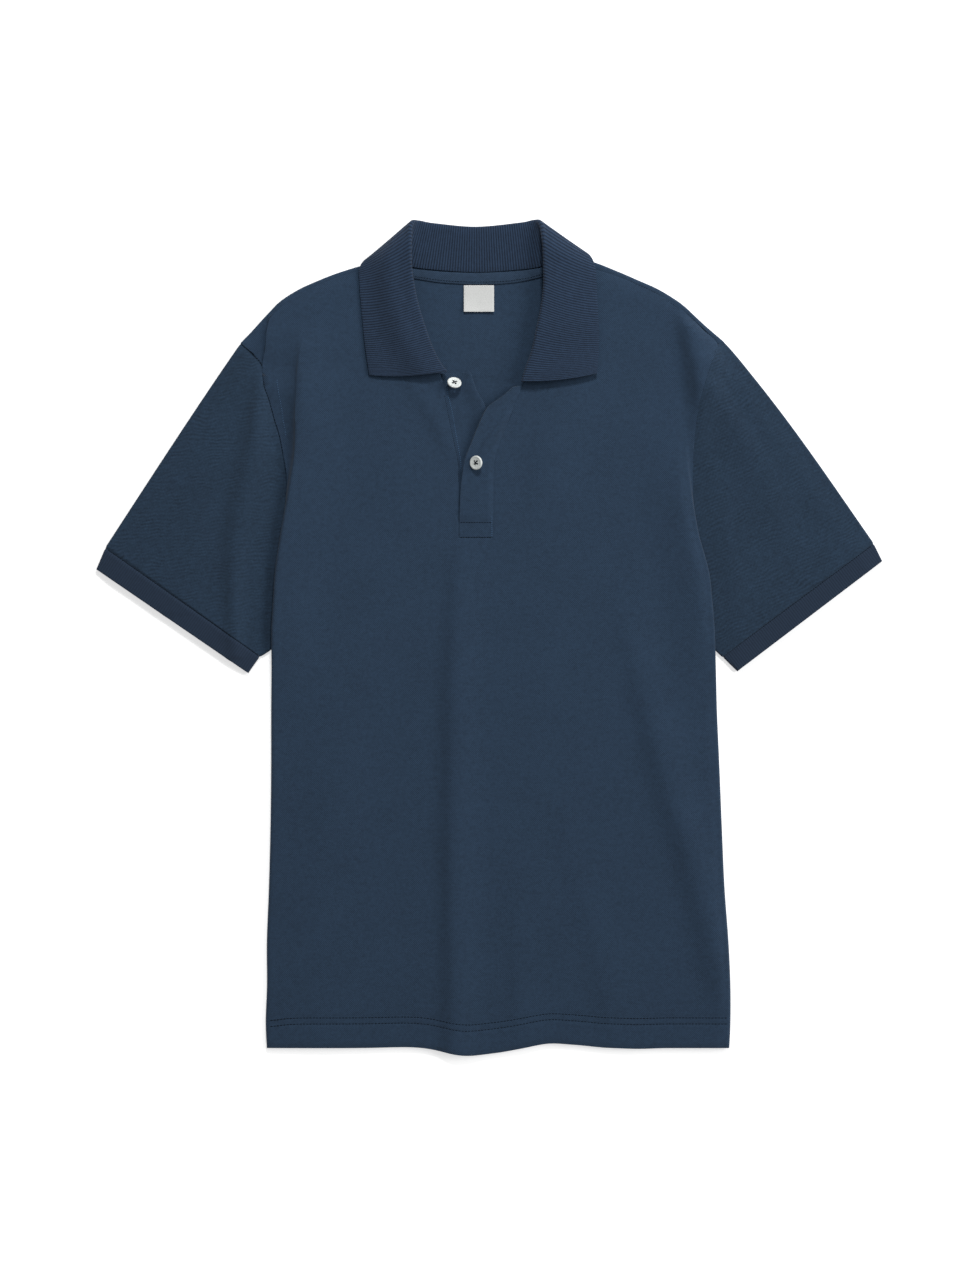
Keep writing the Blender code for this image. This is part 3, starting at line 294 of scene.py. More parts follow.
# Under facing: left edge x, y, right edge x, y
UNDER_FACING = (
    (-30.5, 96.5, -2, 96.5), (-30.5, 118, -2, 118), (-30.5, 142, -2, 142),
    (-30.8, 160, -2.2, 160), (-33.6, 175, -2.6, 178), (-37, 190.5, -2.8, 196),
    (-40.4, 207.5, -3.4, 211.5), (-43.4, 224, -11.5, 227), (-43, 242, -16.9, 243.6),
)
# Crease of the upper facing, like the folds of the front
FACING_FOLDS = {
    "corner": ((168, -9.5, 0, 2.5, 6), (178, -3, 1.5, 2.5, 6), (190, 6, 1.7, 2.5, 6),
               (204, 16.5, 1.2, 2.5, 6), (212, 22, 0, 3, 6)),
}
# Heights of the facings over the front's cloth: the upper one, its edges where it is flush
# with the front, and the under one
TOP_FACING_HEIGHT = 0.8
FLUSH_HEIGHT = -0.05
UNDER_FACING_HEIGHT = -1.9
# Over which width it becomes flush at its seam, and y and length of the same at its foot
FLUSH_WIDTH = 5.0
BOX_TOP = 102.0
BOX_RISE = 10.0
# How the under facing rises at its right edge: height, start across it, start in y, reach
UNDER_RISE = (2.6, 0.5, 186, 18)
# How the upper facing's seam edge is tucked under the front
TUCK_WIDTH = 1.5
TUCK_DEPTH = 0.4

# Neck tape: x, upper edge y, lower edge y
TAPE_ROWS = (
    (-76, 339.4, 331.2), (-60, 337.4, 328.2), (-40, 335.7, 325.6), (-12, 334.8, 324.4),
    (16, 335.8, 325.2), (36, 337.6, 328.2), (52, 340.4, 332.2),
)
# How far the tape arches up across, and how much higher its upper edge lies
TAPE_CROWN = 0.3
TAPE_TILT = 0.45
NECK_LABEL_SIZE = (27.8, 24.5)
NECK_LABEL_CENTRE = (-9.3, 311.2)
# How far the label lies above the cloth, and how its lower edge and corners lift
LABEL_GAP = 0.15
LABEL_LIFT = 0.9
LABEL_CORNER_LIFT = 1.5

BUTTON_DIAMETER = 13.2
BUTTON_THICKNESS = 2.6
BUTTON_HOLE = 2.0
BUTTON_HOLE_PITCH = 2.6
# Height of the dish that the holes are in, as a share of the thickness
BUTTON_DISH = 0.86
# Half section of a button, from its axis: shares of its radius and of its thickness
BUTTON_PROFILE = (
    (0, BUTTON_DISH), (0.5, BUTTON_DISH), (0.6, 0.87), (0.68, 0.91), (0.74, 0.96), (0.82, 1), (0.9, 0.98),
    (0.97, 0.84), (1, 0.6), (0.98, 0.36), (0.9, 0.14), (0.75, 0), (0, 0),
)
# Each button's place: centre x, y, direction of its long axis and tilt about it in degrees, height
BUTTONS = {
    "button_top": (-31.9, 233.2, -15.0, -42.0, 8.4),
    "button_lower": (-11.8, 159.6, 96.0, -33.0, 10.4),
}

# Sewing thread of the buttons: its radius, half the distance of two strands, their height over
# the dish, how deep they dive into the holes, and the radius and upper end of the shank
BUTTON_THREAD = 0.26
STRAND_OFFSET = 0.28
STRAND_HEIGHT = 0.25
STRAND_DIVE = 1.6
SHANK_RADIUS = 1.1
SHANK_TOP = 0.2

# How far the cloth runs level under the body's edge before it turns up
KNEE = 4.0
# How a row bows where it turns, on the left (1) and on the right (-1)
TURN_BOW = {1: 0.68, -1: 0.25}
# Where the back's turn at the shoulder starts and ends, and how far its left strip falls
BACK_ROLL_INSET = 3.4
BACK_ROLL_END = 0.7
STRIP_FALL = 1.7
# How much lower a cuff lies than its sleeve, and depth and width of the dips at their seams
CUFF_DROP = 0.25
ARMHOLE_DIP = {"left": (0.6, 4.0), "right": (0.1, 4.0)}
CUFF_DIP = (1.1, 1.9)
# How far inside the outline the rolled ends of a tube start
SLEEVE_INSET = 1.8
CUFF_INSET = 2.0

# Sewing: height of the thread over the cloth, pitch, length and radius of a stitch
STITCHES = {
    "hem": (0.05, 3.0, 3.0, 0.42),
    "box": (0.03, 2.4, 2.3, 0.36),
    "slit": (-0.05, 2.2, 2.2, 0.26),
    "upper overlock": (0.03, 1.9, 1.1, 0.3),
    "under overlock": (0.03, 1.9, 1.1, 0.36),
    "shoulder": (0.1, 2.6, 2.6, 0.3),
    "armhole": (-0.15, 2.6, 2.6, 0.36),
    "cuff": (0.1, 2.6, 2.6, 0.34),
    "armhole overlock": (0.02, 2.2, 1.2, 0.32),
    "tape": (0.28, 2.6, 2.5, 0.32),
    "label": (0.17, 2.2, 1.8, 0.18),
}
# The two rows across the placket's foot, in rows of TOP_FACING, and how far they run across
BOX_ROWS = (0.02, 0.7)
BOX_REACH = (0.03, 0.97)
# The slit's seam: lowest and highest y, and how far it lies left of the slit
SLIT_SEAM = (125.0, 238.0)
SLIT_SEAM_OFFSET = 0.5
# Overlocking of each facing: place across it, and its first and last row
UPPER_OVERLOCK = (0.96, 0.05, 1.0)
UNDER_OVERLOCK = (0.165, 2.6, 7.6)
# The left armhole's dark line of stitches, which also paints the seam's shade, starts at this row of
# LEFT_ROWS, its overlocking spans these
ARMHOLE_LINE_ROW = 16
ARMHOLE_OVERLOCK_ROWS = (17.0, 20.4)
# How far round the turn the overlocking lies
ARMHOLE_OVERLOCK_PLACE = 0.16
# The right shoulder's seam shows from this x on, and a cuff's seam between these shares of it
SHOULDER_SEAM_START = 128
CUFF_SEAM_REACH = (0.02, 0.98)
# How far the sewing lies from the tape's lower edge and from the label's sides and top
TAPE_SEAM_INSET = 2.0
LABEL_SEAM_INSET = (1.2, 1.3)

# Fineness of the meshes: how many steps each part is cut into, or how long a step is
TURN_CUTS = 12
LEFT_CUTS = 66
RIGHT_CUTS = 80
SLIT_CUTS = 12
ROW_SPACING = 3.2
HEM_ROW_SPACING = 1.3
BACK_SPACING = 4.5
EDGE_SPACING = 2.0
TAPE_SPACING = 3.0
BACK_ROLL_CUTS = 8
SLEEVE_AROUND = 84
SLEEVE_RINGS = 64
CUFF_RINGS = 10
ROLL_CUTS = 9
# How far the rings of a sleeve crowd towards its ends
RING_CROWDING = 0.12
COLLAR_STEPS = 8
STAND_STEPS = 8
FALL_STEPS = 20
FOLD_ANGLES = (-65, -48, -31, -14, 3, 20, 37, 54, 72, 90)
TOP_FACING_CUTS = 34
UNDER_FACING_CUTS = 14
TAPE_CUTS = 6
LABEL_CUTS = 14
SHOULDER_CUTS = 60
BUTTON_SIDES = 48
HEM_LINE_STEPS = 139
BOX_LINE_STEPS = 19
SLIT_LINE_STEPS = 59
SEAM_LINE_STEPS = 60
OVERLOCK_STEPS = 40
TAPE_LINE_STEPS = 79
STRAND_STEPS = 8
SHANK_STEPS = 4
# Points closer than this are merged
WELD = 0.01 * MM
# Rounding of a cut edge and of the collar's edge, as a share of the wall
EDGE_ROUNDING = 0.15
RIB_ROUNDING = 0.36


# ---------------------------------------------------------------- numbers

def ease(t):
    """Smooth step from 0 to 1."""
    t = min(max(t, 0.0), 1.0)
    return t * t * (3 - 2 * t)


def bell(distance, width):
    """A soft hump of height 1."""
    return math.exp(-((distance / width) ** 2))


def arch(t):
    """A parabola that is 0 at 0 and at 1, and 1 between them."""
    return 4 * t * (1 - t)


def spread(low, high, steps):
    """Even steps from low to high, both ends included."""
    return [low + (high - low) * k / steps for k in range(steps + 1)]


def mix(a, b, t):
    """The point or list of numbers a fraction t of the way from a to b."""
    return [p + (q - p) * t for p, q in zip(a, b)]


def look_up(rows, key):
    """The columns after the first at a key, linear between rows whose first column rises."""
    if key <= rows[0][0]:
        return rows[0][1:]
    for low, high in zip(rows, rows[1:]):
        if key <= high[0]:
            return mix(low[1:], high[1:], (key - low[0]) / (high[0] - low[0]))
    return rows[-1][1:]


def cubic(p, t):
    """The point at t on a cubic Bezier curve."""
    s = 1 - t
    weights = (s * s * s, 3 * s * s * t, 3 * s * t * t, t * t * t)
    return [sum(w * q[k] for w, q in zip(weights, p)) for k in range(len(p[0]))]


def through(rows, t):
    """The columns at t, where t counts rows, on a smooth curve through every row."""
    i = min(int(t), len(rows) - 2)
    f = t - i
    a, b, c, d = (rows[max(0, min(len(rows) - 1, i + k))] for k in (-1, 0, 1, 2))
    return [
        q + 0.5 * f * (r - p + f * (2 * p - 5 * q + 4 * r - s + f * (3 * (q - r) + s - p)))
        for p, q, r, s in zip(a, b, c, d)
    ]


def place(point):
    """A table point in millimetres as a vector in metres."""
    return Vector(point) * MM


# ---------------------------------------------------------------- heights of the layers

LEFT_EDGE, RIGHT_EDGE = [[(row[3], row[2]) for row in rows] for rows in (LEFT_ROWS, RIGHT_ROWS)]
SHOULDER_LINE = [(x, y) for x, y, inside, rise in TOP_LINE if rise == 1]


def folds_at(folds, x, y):
    """Height that the folds add at a point."""
    total = 0.0
    for rows in folds.values():
        if rows[0][0] <= y <= rows[-1][0]:
            crest, height, rise, fall = look_up(rows, y)
            total += height * bell(x - crest, rise if x < crest else fall)
    return total


def unevenness(x, y):
    """Slight lie of the knit, in millimetres."""
    return sum(height * noise.noise(Vector((x / across, y / along, start)))
               for height, across, along, start in UNEVENNESS)


def below_shoulder(x, y):
    """Distance from the shoulder outline down to a point."""
    return look_up(SHOULDER_LINE, x)[0] - y


def armhole_fold(x, y):
    """Height of the folds that run over the armhole seams."""
    return folds_at(ARMHOLE_FOLDS, x, y) * ease(below_shoulder(x, y) / SHOULDER_FALL_WIDTH)


def front_level(x, y):
    """Height of the middle of the front's cloth."""
    left = max(0.0, x - look_up(LEFT_EDGE, y)[0])
    right = max(0.0, look_up(RIGHT_EDGE, y)[0] - x)
    side_level = look_up(SIDE_LEVEL, y)[0 if left < right else 1]
    lift = (side_level - FRONT_LEVEL) * (1 - ease(min(left, right) / SIDE_FALL_WIDTH))
    rim = look_up(RIGHT_RIM, y)[0] * (1 - ease(right / RIM_WIDTH))
    level = FRONT_LEVEL + lift - rim + folds_at(FRONT_FOLDS, x, y) + unevenness(x, y)
    level = SHOULDER_LEVEL + (level - SHOULDER_LEVEL) * ease(below_shoulder(x, y) / SHOULDER_FALL_WIDTH)
    return level + armhole_fold(x, y)


def hem_relief(y):
    """How the hem's stitches draw the cloth in and how full the hem is between them."""
    drawn = sum(bell(y - line, HEM_DRAW_WIDTH) for line in HEM_STITCHES)
    full = ease((HEM_STITCHES[0] - y) / HEM_FULL_WIDTH)
    roll = HEM_ROLL[0] * bell(y - LEFT_ROWS[0][1], HEM_ROLL[1])
    return HEM_FULLNESS * full - HEM_DRAW * drawn - roll


def line_distance(line, x, y):
    """Distance of a point inside a straight outline from it."""
    (x0, y0), (x1, y1) = line
    distance = ((x1 - x0) * (y0 - y) - (x0 - x) * (y1 - y0)) / math.hypot(x1 - x0, y1 - y0)
    return math.copysign(distance, distance * (x1 - x0))


def outer_bow(side, s):
    """How far a sleeve's outer edge bows out, a fraction s of the way down it."""
    return OUTER_BOW[side] * arch(s) * (1 + OUTER_BOW_SKEW * (1 - 2 * s))


def sleeve_level(x, y):
    """Height of the middle of a sleeve's upper cloth, and of the front beside it."""
    left_start, left_width, right_start, right_width = look_up(SLEEVE_RISE, y)
    if x < 0:
        side, outline = "left", (LEFT_TIP[-1], LEFT_CUFF_SEAM[0])
        beside = look_up(LEFT_EDGE, y)[0] - x
        rise = ease((beside - left_start) / left_width)
    else:
        side, outline = "right", (RIGHT_TIP[-1], RIGHT_CUFF_SEAM[0])
        beside = x - look_up(RIGHT_EDGE, y)[0]
        rise = ease((beside - right_start) / right_width)
    down = (outline[0][1] - y) / (outline[0][1] - outline[1][1])
    outer = line_distance(outline, x, y) + outer_bow(side, min(max(down, 0.0), 1.0))
    if y > outline[0][1]:
        outer = below_shoulder(x, y)
    puff = ease(outer / PUFF_WIDTH) * rise
    level = SLEEVE_LOW + puff * (SLEEVE_PUFF + folds_at(SLEEVE_FOLDS, x, y) + unevenness(x, y))
    if side == "left":
        depth, middle, width = look_up(SLEEVE_HOLLOW, y)
        level -= depth * bell(beside - middle, width)
    return level + armhole_fold(x, y)


def cuff_level(x, y):
    """Height of the middle of a cuff's upper cloth."""
    return sleeve_level(x, y) - CUFF_DROP


def hem_wave(x, y):
    """How far the hem's line dips or rises at x, fading upwards."""
    fade = 1 - ease((y - HEM_Y) / (HEM_WAVE_REACH - HEM_Y))
    return fade * sum(rise * bell(x - middle, width) for middle, rise, width in HEM_WAVES)


# ---------------------------------------------------------------- meshes

def finish_mesh(name, bm, material):
    """A named piece from a bmesh, smooth and in one material, riding on the shirt."""
    for face in bm.faces:
        face.smooth = True
    mesh = bpy.data.meshes.new(name)
    bm.to_mesh(mesh)
    bm.free()
    mesh.materials.append(material)
    piece = bpy.data.objects.new(name, mesh)
    SHIRT.objects.link(piece)
    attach(piece, "root")
    return piece


def cloth_grid(name, columns, rows, point, wall, material, closed=False, cut=None, lay=None,
               rounding=EDGE_ROUNDING):
    """A wall of cloth round a grid whose points point(column, row) places."""
    bm = bmesh.new()
    bmesh.ops.create_grid(bm, x_segments=columns, y_segments=rows, size=1)
    index = {}
    for vertex in bm.verts:
        index[vertex] = (round((vertex.co.x + 1) / 2 * columns), round((vertex.co.y + 1) / 2 * rows))
    if cut:
        doomed = [face for face in bm.faces if cut(*face_cell(face, index))]
        bmesh.ops.delete(bm, geom=doomed, context='FACES')
    if lay:
        layer = bm.loops.layers.uv.new("knit")
        for face in bm.faces:
            for loop in face.loops:
                loop[layer].uv = lay(*index[loop.vert])
    for vertex in bm.verts:
        vertex.co = place(point(*index[vertex]))
    if closed:
        bmesh.ops.remove_doubles(bm, verts=bm.verts, dist=WELD)
    bmesh.ops.recalc_face_normals(bm, faces=bm.faces)
    piece = finish_mesh(name, bm, material)
    solidify = piece.modifiers.new("wall", 'SOLIDIFY')
    solidify.thickness = wall * MM
    solidify.offset = 0
    bevel = piece.modifiers.new("rounded edges", 'BEVEL')
    bevel.width = wall * MM * rounding
    bevel.segments = 2
    bevel.limit_method = 'ANGLE'
    bevel.angle_limit = math.radians(60)
    return piece


def face_cell(face, index):
    """Lowest column and row of a grid face."""
    cells = [index[vertex] for vertex in face.verts]
    return min(c for c, r in cells), min(r for c, r in cells)


def along_line(points, distance):
    """The point and direction at a distance along a line of points."""
    for start, end in zip(points, points[1:]):
        step = end - start
        if distance <= step.length:
            return start + step * (distance / step.length), step.normalized()
        distance -= step.length
    return points[-1], (points[-1] - points[-2]).normalized()


def sew(bm, kind, points):
    """Stitches of one kind, one after the other, along a line of table points on the cloth."""
    height, pitch, length, radius = STITCHES[kind]
    points = [Vector((x, y, z + height)) for x, y, z in points]
    total = sum((b - a).length for a, b in zip(points, points[1:]))
    shape = Matrix.Diagonal((length / 2 * MM, radius * MM, radius * MM, 1))
    for k in range(int(total / pitch)):
        centre, direction = along_line(points, (k + 0.5) * pitch)
        turn = direction.to_track_quat('X', 'Z').to_matrix().to_4x4()
        bmesh.ops.create_icosphere(bm, subdivisions=1, radius=1,
                                   matrix=Matrix.Translation(place(centre)) @ turn @ shape)


def thread_run(bm, points, radius):
    """A thin closed run of thread along points in metres."""
    sides = 8
    rings = []
    for k, point in enumerate(points):
        before, after = points[max(k - 1, 0)], points[min(k + 1, len(points) - 1)]
        turn = (after - before).to_track_quat('Z', 'Y').to_matrix().to_4x4()
        circle = bmesh.ops.create_circle(bm, cap_ends=k in (0, len(points) - 1), segments=sides,
                                         radius=radius * MM, matrix=Matrix.Translation(point) @ turn)
        rings.append(circle["verts"])
    for low, high in zip(rings, rings[1:]):
        for k in range(sides):
            bm.faces.new((low[k], low[(k + 1) % sides], high[(k + 1) % sides], high[k]))
    bmesh.ops.recalc_face_normals(bm, faces=bm.faces)


# ---------------------------------------------------------------- materials

SLATE = (0.0166, 0.0345, 0.0640)
SLEEVE_SLATE = (0.0170, 0.0362, 0.0660)
COLLAR_SLATE = (0.0160, 0.0315, 0.0620)
CUFF_SLATE = (0.0162, 0.0296, 0.0550)
TAPE_SLATE = (0.0190, 0.0370, 0.0670)
LABEL_WHITE = (0.66, 0.67, 0.66)
PEARL = (0.80, 0.84, 0.82)

# Measures of the knit in metres: pitch of the pique's cells, of its faint lines, of the ribs,
# of a rib's loops and of the label's weft, and how far the loops and the lines wander
PIQUE_PITCH = 0.0019
LINE_PITCH = 0.0034
RIB_PITCH = 0.0023
LOOP_PITCH = 0.0014
WEFT_PITCH = 0.0008
LOOP_WANDER = 0.0006
LINE_WANDER = 0.012
# How the faint lines gather in patches: factor and offset
LINE_PATCHES = (4.0, -1.2)
# How the courses are drawn out along the cloth
COURSE_STRETCH = (0.4, 1.0, 1.0)
# Noises in the cloth: scale and detail
NOISES = {
    "loops": (240.0, 1.0), "courses": (420.0, 2.0), "yarn": (620.0, 2.0), "drift": (40.0, 2.0),
    "patches": (75.0, 1.0), "rib loops": (200.0, 1.0), "rib yarn": (900.0, 2.0),
    "broad dye": (22.0, 2.0), "small dye": (210.0, 3.0),
}
# Roughness, specular and sheen
KNIT_LOOK = (0.85, 0.12, 0.1)
THREAD_LOOK = (0.8, 0.15, 0.0)
LABEL_LOOK = (0.55, 0.3, 0.15)
PEARL_LOOK = (0.22, 0.5, 0.0)
PAPER_LOOK = (0.95, 0.1, 0.0)
SHEEN_ROUGHNESS = 0.6
# How strongly the cells tint the cloth, lighter on their tops and darker in their hollows as painted shade,
# where it has no faint lines, and where it has
PLAIN_CELLS = 0.6
LINED_CELLS = 0.15
# Where a tint's dark and light ends lie, and how dark and light they are
TINT_ENDS = (0.2, 0.8)
PIQUE_SHADES = (0.45, 1.55)
WHITE_SHADES = (0.9, 1.06)
# Depth of each relief in metres (the rib's for a contrast of 1), and the strength of them all
PIQUE_RELIEF = 0.00022
RIB_RELIEF = 0.0006
THREAD_RELIEF = 0.00005
LABEL_RELIEF = 0.00006
PEARL_RELIEF = 0.00002
RELIEF_STRENGTH = 0.7


def add_node(tree, kind, inputs=None, **settings):
    """A node with its settings, and its inputs set or joined up."""
    made = tree.nodes.new(kind)
    for name, value in settings.items():
        setattr(made, name, value)
    for name, value in (inputs or {}).items():
        socket = made.inputs[name]
        if isinstance(value, bpy.types.NodeSocket):
            tree.links.new(value, socket)
        else:
            socket.default_value = value
    return made


def calculate(tree, operation, *values):
    """The result of a Math node."""
    node = add_node(tree, 'ShaderNodeMath', dict(enumerate(values)), operation=operation)
    return node.outputs[0]


def calculate_vector(tree, operation, inputs):
    """The outputs of a Vector Math node."""
    return add_node(tree, 'ShaderNodeVectorMath', inputs, operation=operation).outputs


def weigh(tree, first, share, second, rest):
    """The sum of two values, each times its share."""
    return calculate(tree, 'MULTIPLY_ADD', first, share, calculate(tree, 'MULTIPLY', second, rest))


def noise_at(tree, position, kind):
    """The outputs of a noise texture of one kind."""
    inputs = {"Vector": position, "Scale": NOISES[kind][0], "Detail": NOISES[kind][1]}
    return add_node(tree, 'ShaderNodeTexNoise', inputs).outputs


def use_group(tree, group, inputs):
    """The outputs of a node group placed in a material."""
    return add_node(tree, 'ShaderNodeGroup', inputs, node_tree=group).outputs


def begin_group(name, takes, *gives):
    """A shader node group with its sockets: the tree, what comes in and what goes out."""
    tree = bpy.data.node_groups.new(name, 'ShaderNodeTree')
    for label, value in takes.items():
        kind = 'NodeSocketFloat' if isinstance(value, float) else 'NodeSocketVector'
        tree.interface.new_socket(label, in_out='INPUT', socket_type=kind).default_value = value
    for label in gives:
        tree.interface.new_socket(label, in_out='OUTPUT', socket_type='NodeSocketFloat')
    return tree, tree.nodes.new('NodeGroupInput').outputs, tree.nodes.new('NodeGroupOutput').inputs


def pique_group():
    """Small diamond cells of a pique knit: their height, and how light each spot is, lighter on the cells'
    tops and darker in their hollows as painted shade, over the knit's faint lines and yarn.
    """
    inputs = {"Position": (0, 0, 0), "Cells": PLAIN_CELLS, "Lines": 0.0, "Line Direction": (0, 1, 0)}
    tree, takes, gives = begin_group("pique cells", inputs, "Height", "Tint")
    position = takes["Position"]
    wander = noise_at(tree, position, "loops")["Color"]
    reach = (LOOP_WANDER, LOOP_WANDER, 0)
    shifted = calculate_vector(tree, 'MULTIPLY_ADD', {0: wander, 1: reach, 2: position})
    scaled = calculate_vector(tree, 'SCALE', {0: shifted[0], "Scale": 2 * math.pi / PIQUE_PITCH})
    parts = add_node(tree, 'ShaderNodeSeparateXYZ', {0: scaled[0]}).outputs
    across, along = (calculate(tree, 'COSINE', parts[axis]) for axis in "XY")
    height = calculate(tree, 'MULTIPLY_ADD', calculate(tree, 'MULTIPLY', across, along), 0.5, 0.5)
    stretched = calculate_vector(tree, 'MULTIPLY', {0: position, 1: COURSE_STRETCH})
    courses = noise_at(tree, stretched[0], "courses")["Fac"]
    yarn = noise_at(tree, position, "yarn")["Fac"]
    drift = noise_at(tree, position, "drift")["Fac"]
    patch = noise_at(tree, position, "patches")["Fac"]
    level = calculate_vector(tree, 'DOT_PRODUCT', {0: position, 1: takes["Line Direction"]})["Value"]
    bent = calculate(tree, 'MULTIPLY_ADD', drift, LINE_WANDER, level)
    lines = calculate(tree, 'SINE', calculate(tree, 'MULTIPLY', bent, 2 * math.pi / LINE_PITCH))
    patchy = calculate(tree, 'MULTIPLY_ADD', patch, *LINE_PATCHES)
    strength = calculate(tree, 'MULTIPLY', patchy, takes["Lines"])
    banded = calculate(tree, 'MULTIPLY_ADD', lines, strength, weigh(tree, courses, 0.3, yarn, 0.6))
    # The cells' height also tints them: lighter on their tops and darker in their hollows, a painted shade on
    # top of their relief.
    tint = calculate(tree, 'MULTIPLY_ADD', height, takes["Cells"], banded)
    tree.links.new(height, gives["Height"])
    tree.links.new(tint, gives["Tint"])
    return tree


def rib_group():
    """Ribs of a flat knit across a coordinate: their height, and how light each spot is, lighter on the
    crests and darker in the furrows as painted shade, with the yarn's own patches.
    """
    inputs = {"Across": 0.0, "Along": 0.0, "Pitch": RIB_PITCH}
    tree, takes, gives = begin_group("rib wales", inputs, "Height", "Tint")
    spot = add_node(tree, 'ShaderNodeCombineXYZ', {"X": takes["Across"], "Y": takes["Along"]}).outputs[0]
    wander = noise_at(tree, spot, "rib loops")["Fac"]
    shifted = calculate(tree, 'MULTIPLY_ADD', wander, LOOP_WANDER, takes["Across"])
    turn = calculate(tree, 'MULTIPLY', shifted, calculate(tree, 'DIVIDE', 2 * math.pi, takes["Pitch"]))
    wave = calculate(tree, 'MULTIPLY_ADD', calculate(tree, 'COSINE', turn), 0.5, 0.5)
    rounded = calculate(tree, 'POWER', wave, 0.7)
    along = calculate(tree, 'MULTIPLY', takes["Along"], 2 * math.pi / LOOP_PITCH)
    height = calculate(tree, 'MULTIPLY_ADD', calculate(tree, 'COSINE', along), 0.08, rounded)
    yarn = noise_at(tree, spot, "rib yarn")["Fac"]
    tree.links.new(height, gives["Height"])
    # The tint follows the ribs' height: lighter on the crests and darker in the furrows, a painted shade on
    # top of their relief.
    tree.links.new(weigh(tree, yarn, 0.35, rounded, 0.65), gives["Tint"])
    return tree


def mottle_group():
    """Uneven take-up of the dye, in broad and small patches."""
    tree, takes, gives = begin_group("dye mottle", {"Position": (0, 0, 0)}, "Tint")
    broad = noise_at(tree, takes["Position"], "broad dye")["Fac"]
    small = noise_at(tree, takes["Position"], "small dye")["Fac"]
    tree.links.new(weigh(tree, broad, 0.35, small, 0.65), gives["Tint"])
    return tree


def begin_material(name, look):
    """A material's tree and its Principled shader."""
    material = bpy.data.materials.new(name)
    material.use_nodes = True
    shader = material.node_tree.nodes["Principled BSDF"]
    labels = ("Roughness", "Specular IOR Level", "Sheen Weight", "Sheen Roughness")
    for label, value in zip(labels, (*look, SHEEN_ROUGHNESS)):
        shader.inputs[label].default_value = value
    return material, material.node_tree, shader


def dress(tree, shader, tint, height, colour, shades, relief):
    """Joins a tint between two shades of a colour and a relief to the shader."""
    ramp = add_node(tree, 'ShaderNodeValToRGB', {"Fac": tint})
    for element, position, shade in zip(ramp.color_ramp.elements, TINT_ENDS, shades):
        element.position = position
        element.color = (*(part * shade for part in colour), 1)
    tree.links.new(ramp.outputs["Color"], shader.inputs["Base Color"])
    inputs = {"Height": height, "Strength": RELIEF_STRENGTH, "Distance": relief}
    bump = add_node(tree, 'ShaderNodeBump', inputs)
    tree.links.new(bump.outputs["Normal"], shader.inputs["Normal"])


def object_position(tree, degrees):
    """Object coordinates turned about the vertical."""
    inputs = {"Vector": add_node(tree, 'ShaderNodeTexCoord').outputs["Object"],
              "Rotation": (0, 0, math.radians(degrees))}
    return add_node(tree, 'ShaderNodeMapping', inputs).outputs["Vector"]


def pique_material(name, degrees, colour, lines=0.0, line_degrees=0.0):
    """Pique knit whose wales run along a direction, with faint lines where the courses show."""
    material, tree, shader = begin_material(name, KNIT_LOOK)
    position = object_position(tree, degrees)
    turn = math.radians(line_degrees + degrees)
    cells = use_group(tree, PIQUE_CELLS, {
        "Position": position, "Lines": lines, "Cells": LINED_CELLS if lines else PLAIN_CELLS,
        "Line Direction": (-math.sin(turn), math.cos(turn), 0),
    })
    patches = use_group(tree, DYE_MOTTLE, {"Position": position})
    tint = weigh(tree, cells["Tint"], 0.6, patches["Tint"], 0.4)
    dress(tree, shader, tint, cells["Height"], colour, PIQUE_SHADES, PIQUE_RELIEF)
    return material


def rib_material(name, colour, contrast, degrees=None):
    """Flat rib knit: on the collar the ribs follow the cloth, on a cuff they run across it."""
    material, tree, shader = begin_material(name, KNIT_LOOK)
    if degrees is None:
        position = add_node(tree, 'ShaderNodeUVMap', uv_map="knit").outputs["UV"]
    else:
        position = object_position(tree, degrees)
    parts = add_node(tree, 'ShaderNodeSeparateXYZ', {0: position}).outputs
    ribs = use_group(tree, RIB_WALES, {"Across": parts["X"], "Along": parts["Y"]})
    patches = use_group(tree, DYE_MOTTLE, {"Position": position})
    tint = weigh(tree, ribs["Tint"], 0.6, patches["Tint"], 0.4)
    dress(tree, shader, tint, ribs["Height"], colour, (1 - contrast, 1 + contrast), RIB_RELIEF * contrast)
    return material


def thread_material(name, shades):
    """Spun sewing thread, between two shades of the knit's colour."""
    material, tree, shader = begin_material(name, THREAD_LOOK)
    position = object_position(tree, 30)
    patches = use_group(tree, DYE_MOTTLE, {"Position": position})
    twist = add_node(tree, 'ShaderNodeTexWave', {"Vector": position, "Scale": 900.0, "Distortion": 1.0})
    dress(tree, shader, patches["Tint"], twist.outputs["Fac"], SLATE, shades, THREAD_RELIEF)
    return material


def label_material():
    """Off-white satin weave with a fine rib."""
    material, tree, shader = begin_material("woven label", LABEL_LOOK)
    position = object_position(tree, 0)
    parts = add_node(tree, 'ShaderNodeSeparateXYZ', {0: position}).outputs
    weft = use_group(tree, RIB_WALES, {"Across": parts["Y"], "Along": parts["X"], "Pitch": WEFT_PITCH})
    patches = use_group(tree, DYE_MOTTLE, {"Position": position})
    tint = weigh(tree, weft["Tint"], 0.5, patches["Tint"], 0.5)
    dress(tree, shader, tint, weft["Height"], LABEL_WHITE, WHITE_SHADES, LABEL_RELIEF)
    return material


def button_material():
    """Pearly polyester: cloudy white with a soft gloss."""
    material, tree, shader = begin_material("pearl button", PEARL_LOOK)
    shader.inputs["Coat Weight"].default_value = 0.4
    shader.inputs["Coat Roughness"].default_value = 0.12
    position = object_position(tree, 20)
    inputs = {"Vector": position, "Scale": 160.0, "Detail": 3.0, "Distortion": 1.2}
    cloud = add_node(tree, 'ShaderNodeTexNoise', inputs).outputs["Fac"]
    dress(tree, shader, cloud, cloud, PEARL, WHITE_SHADES, PEARL_RELIEF)
    return material


# ---------------------------------------------------------------- front and back

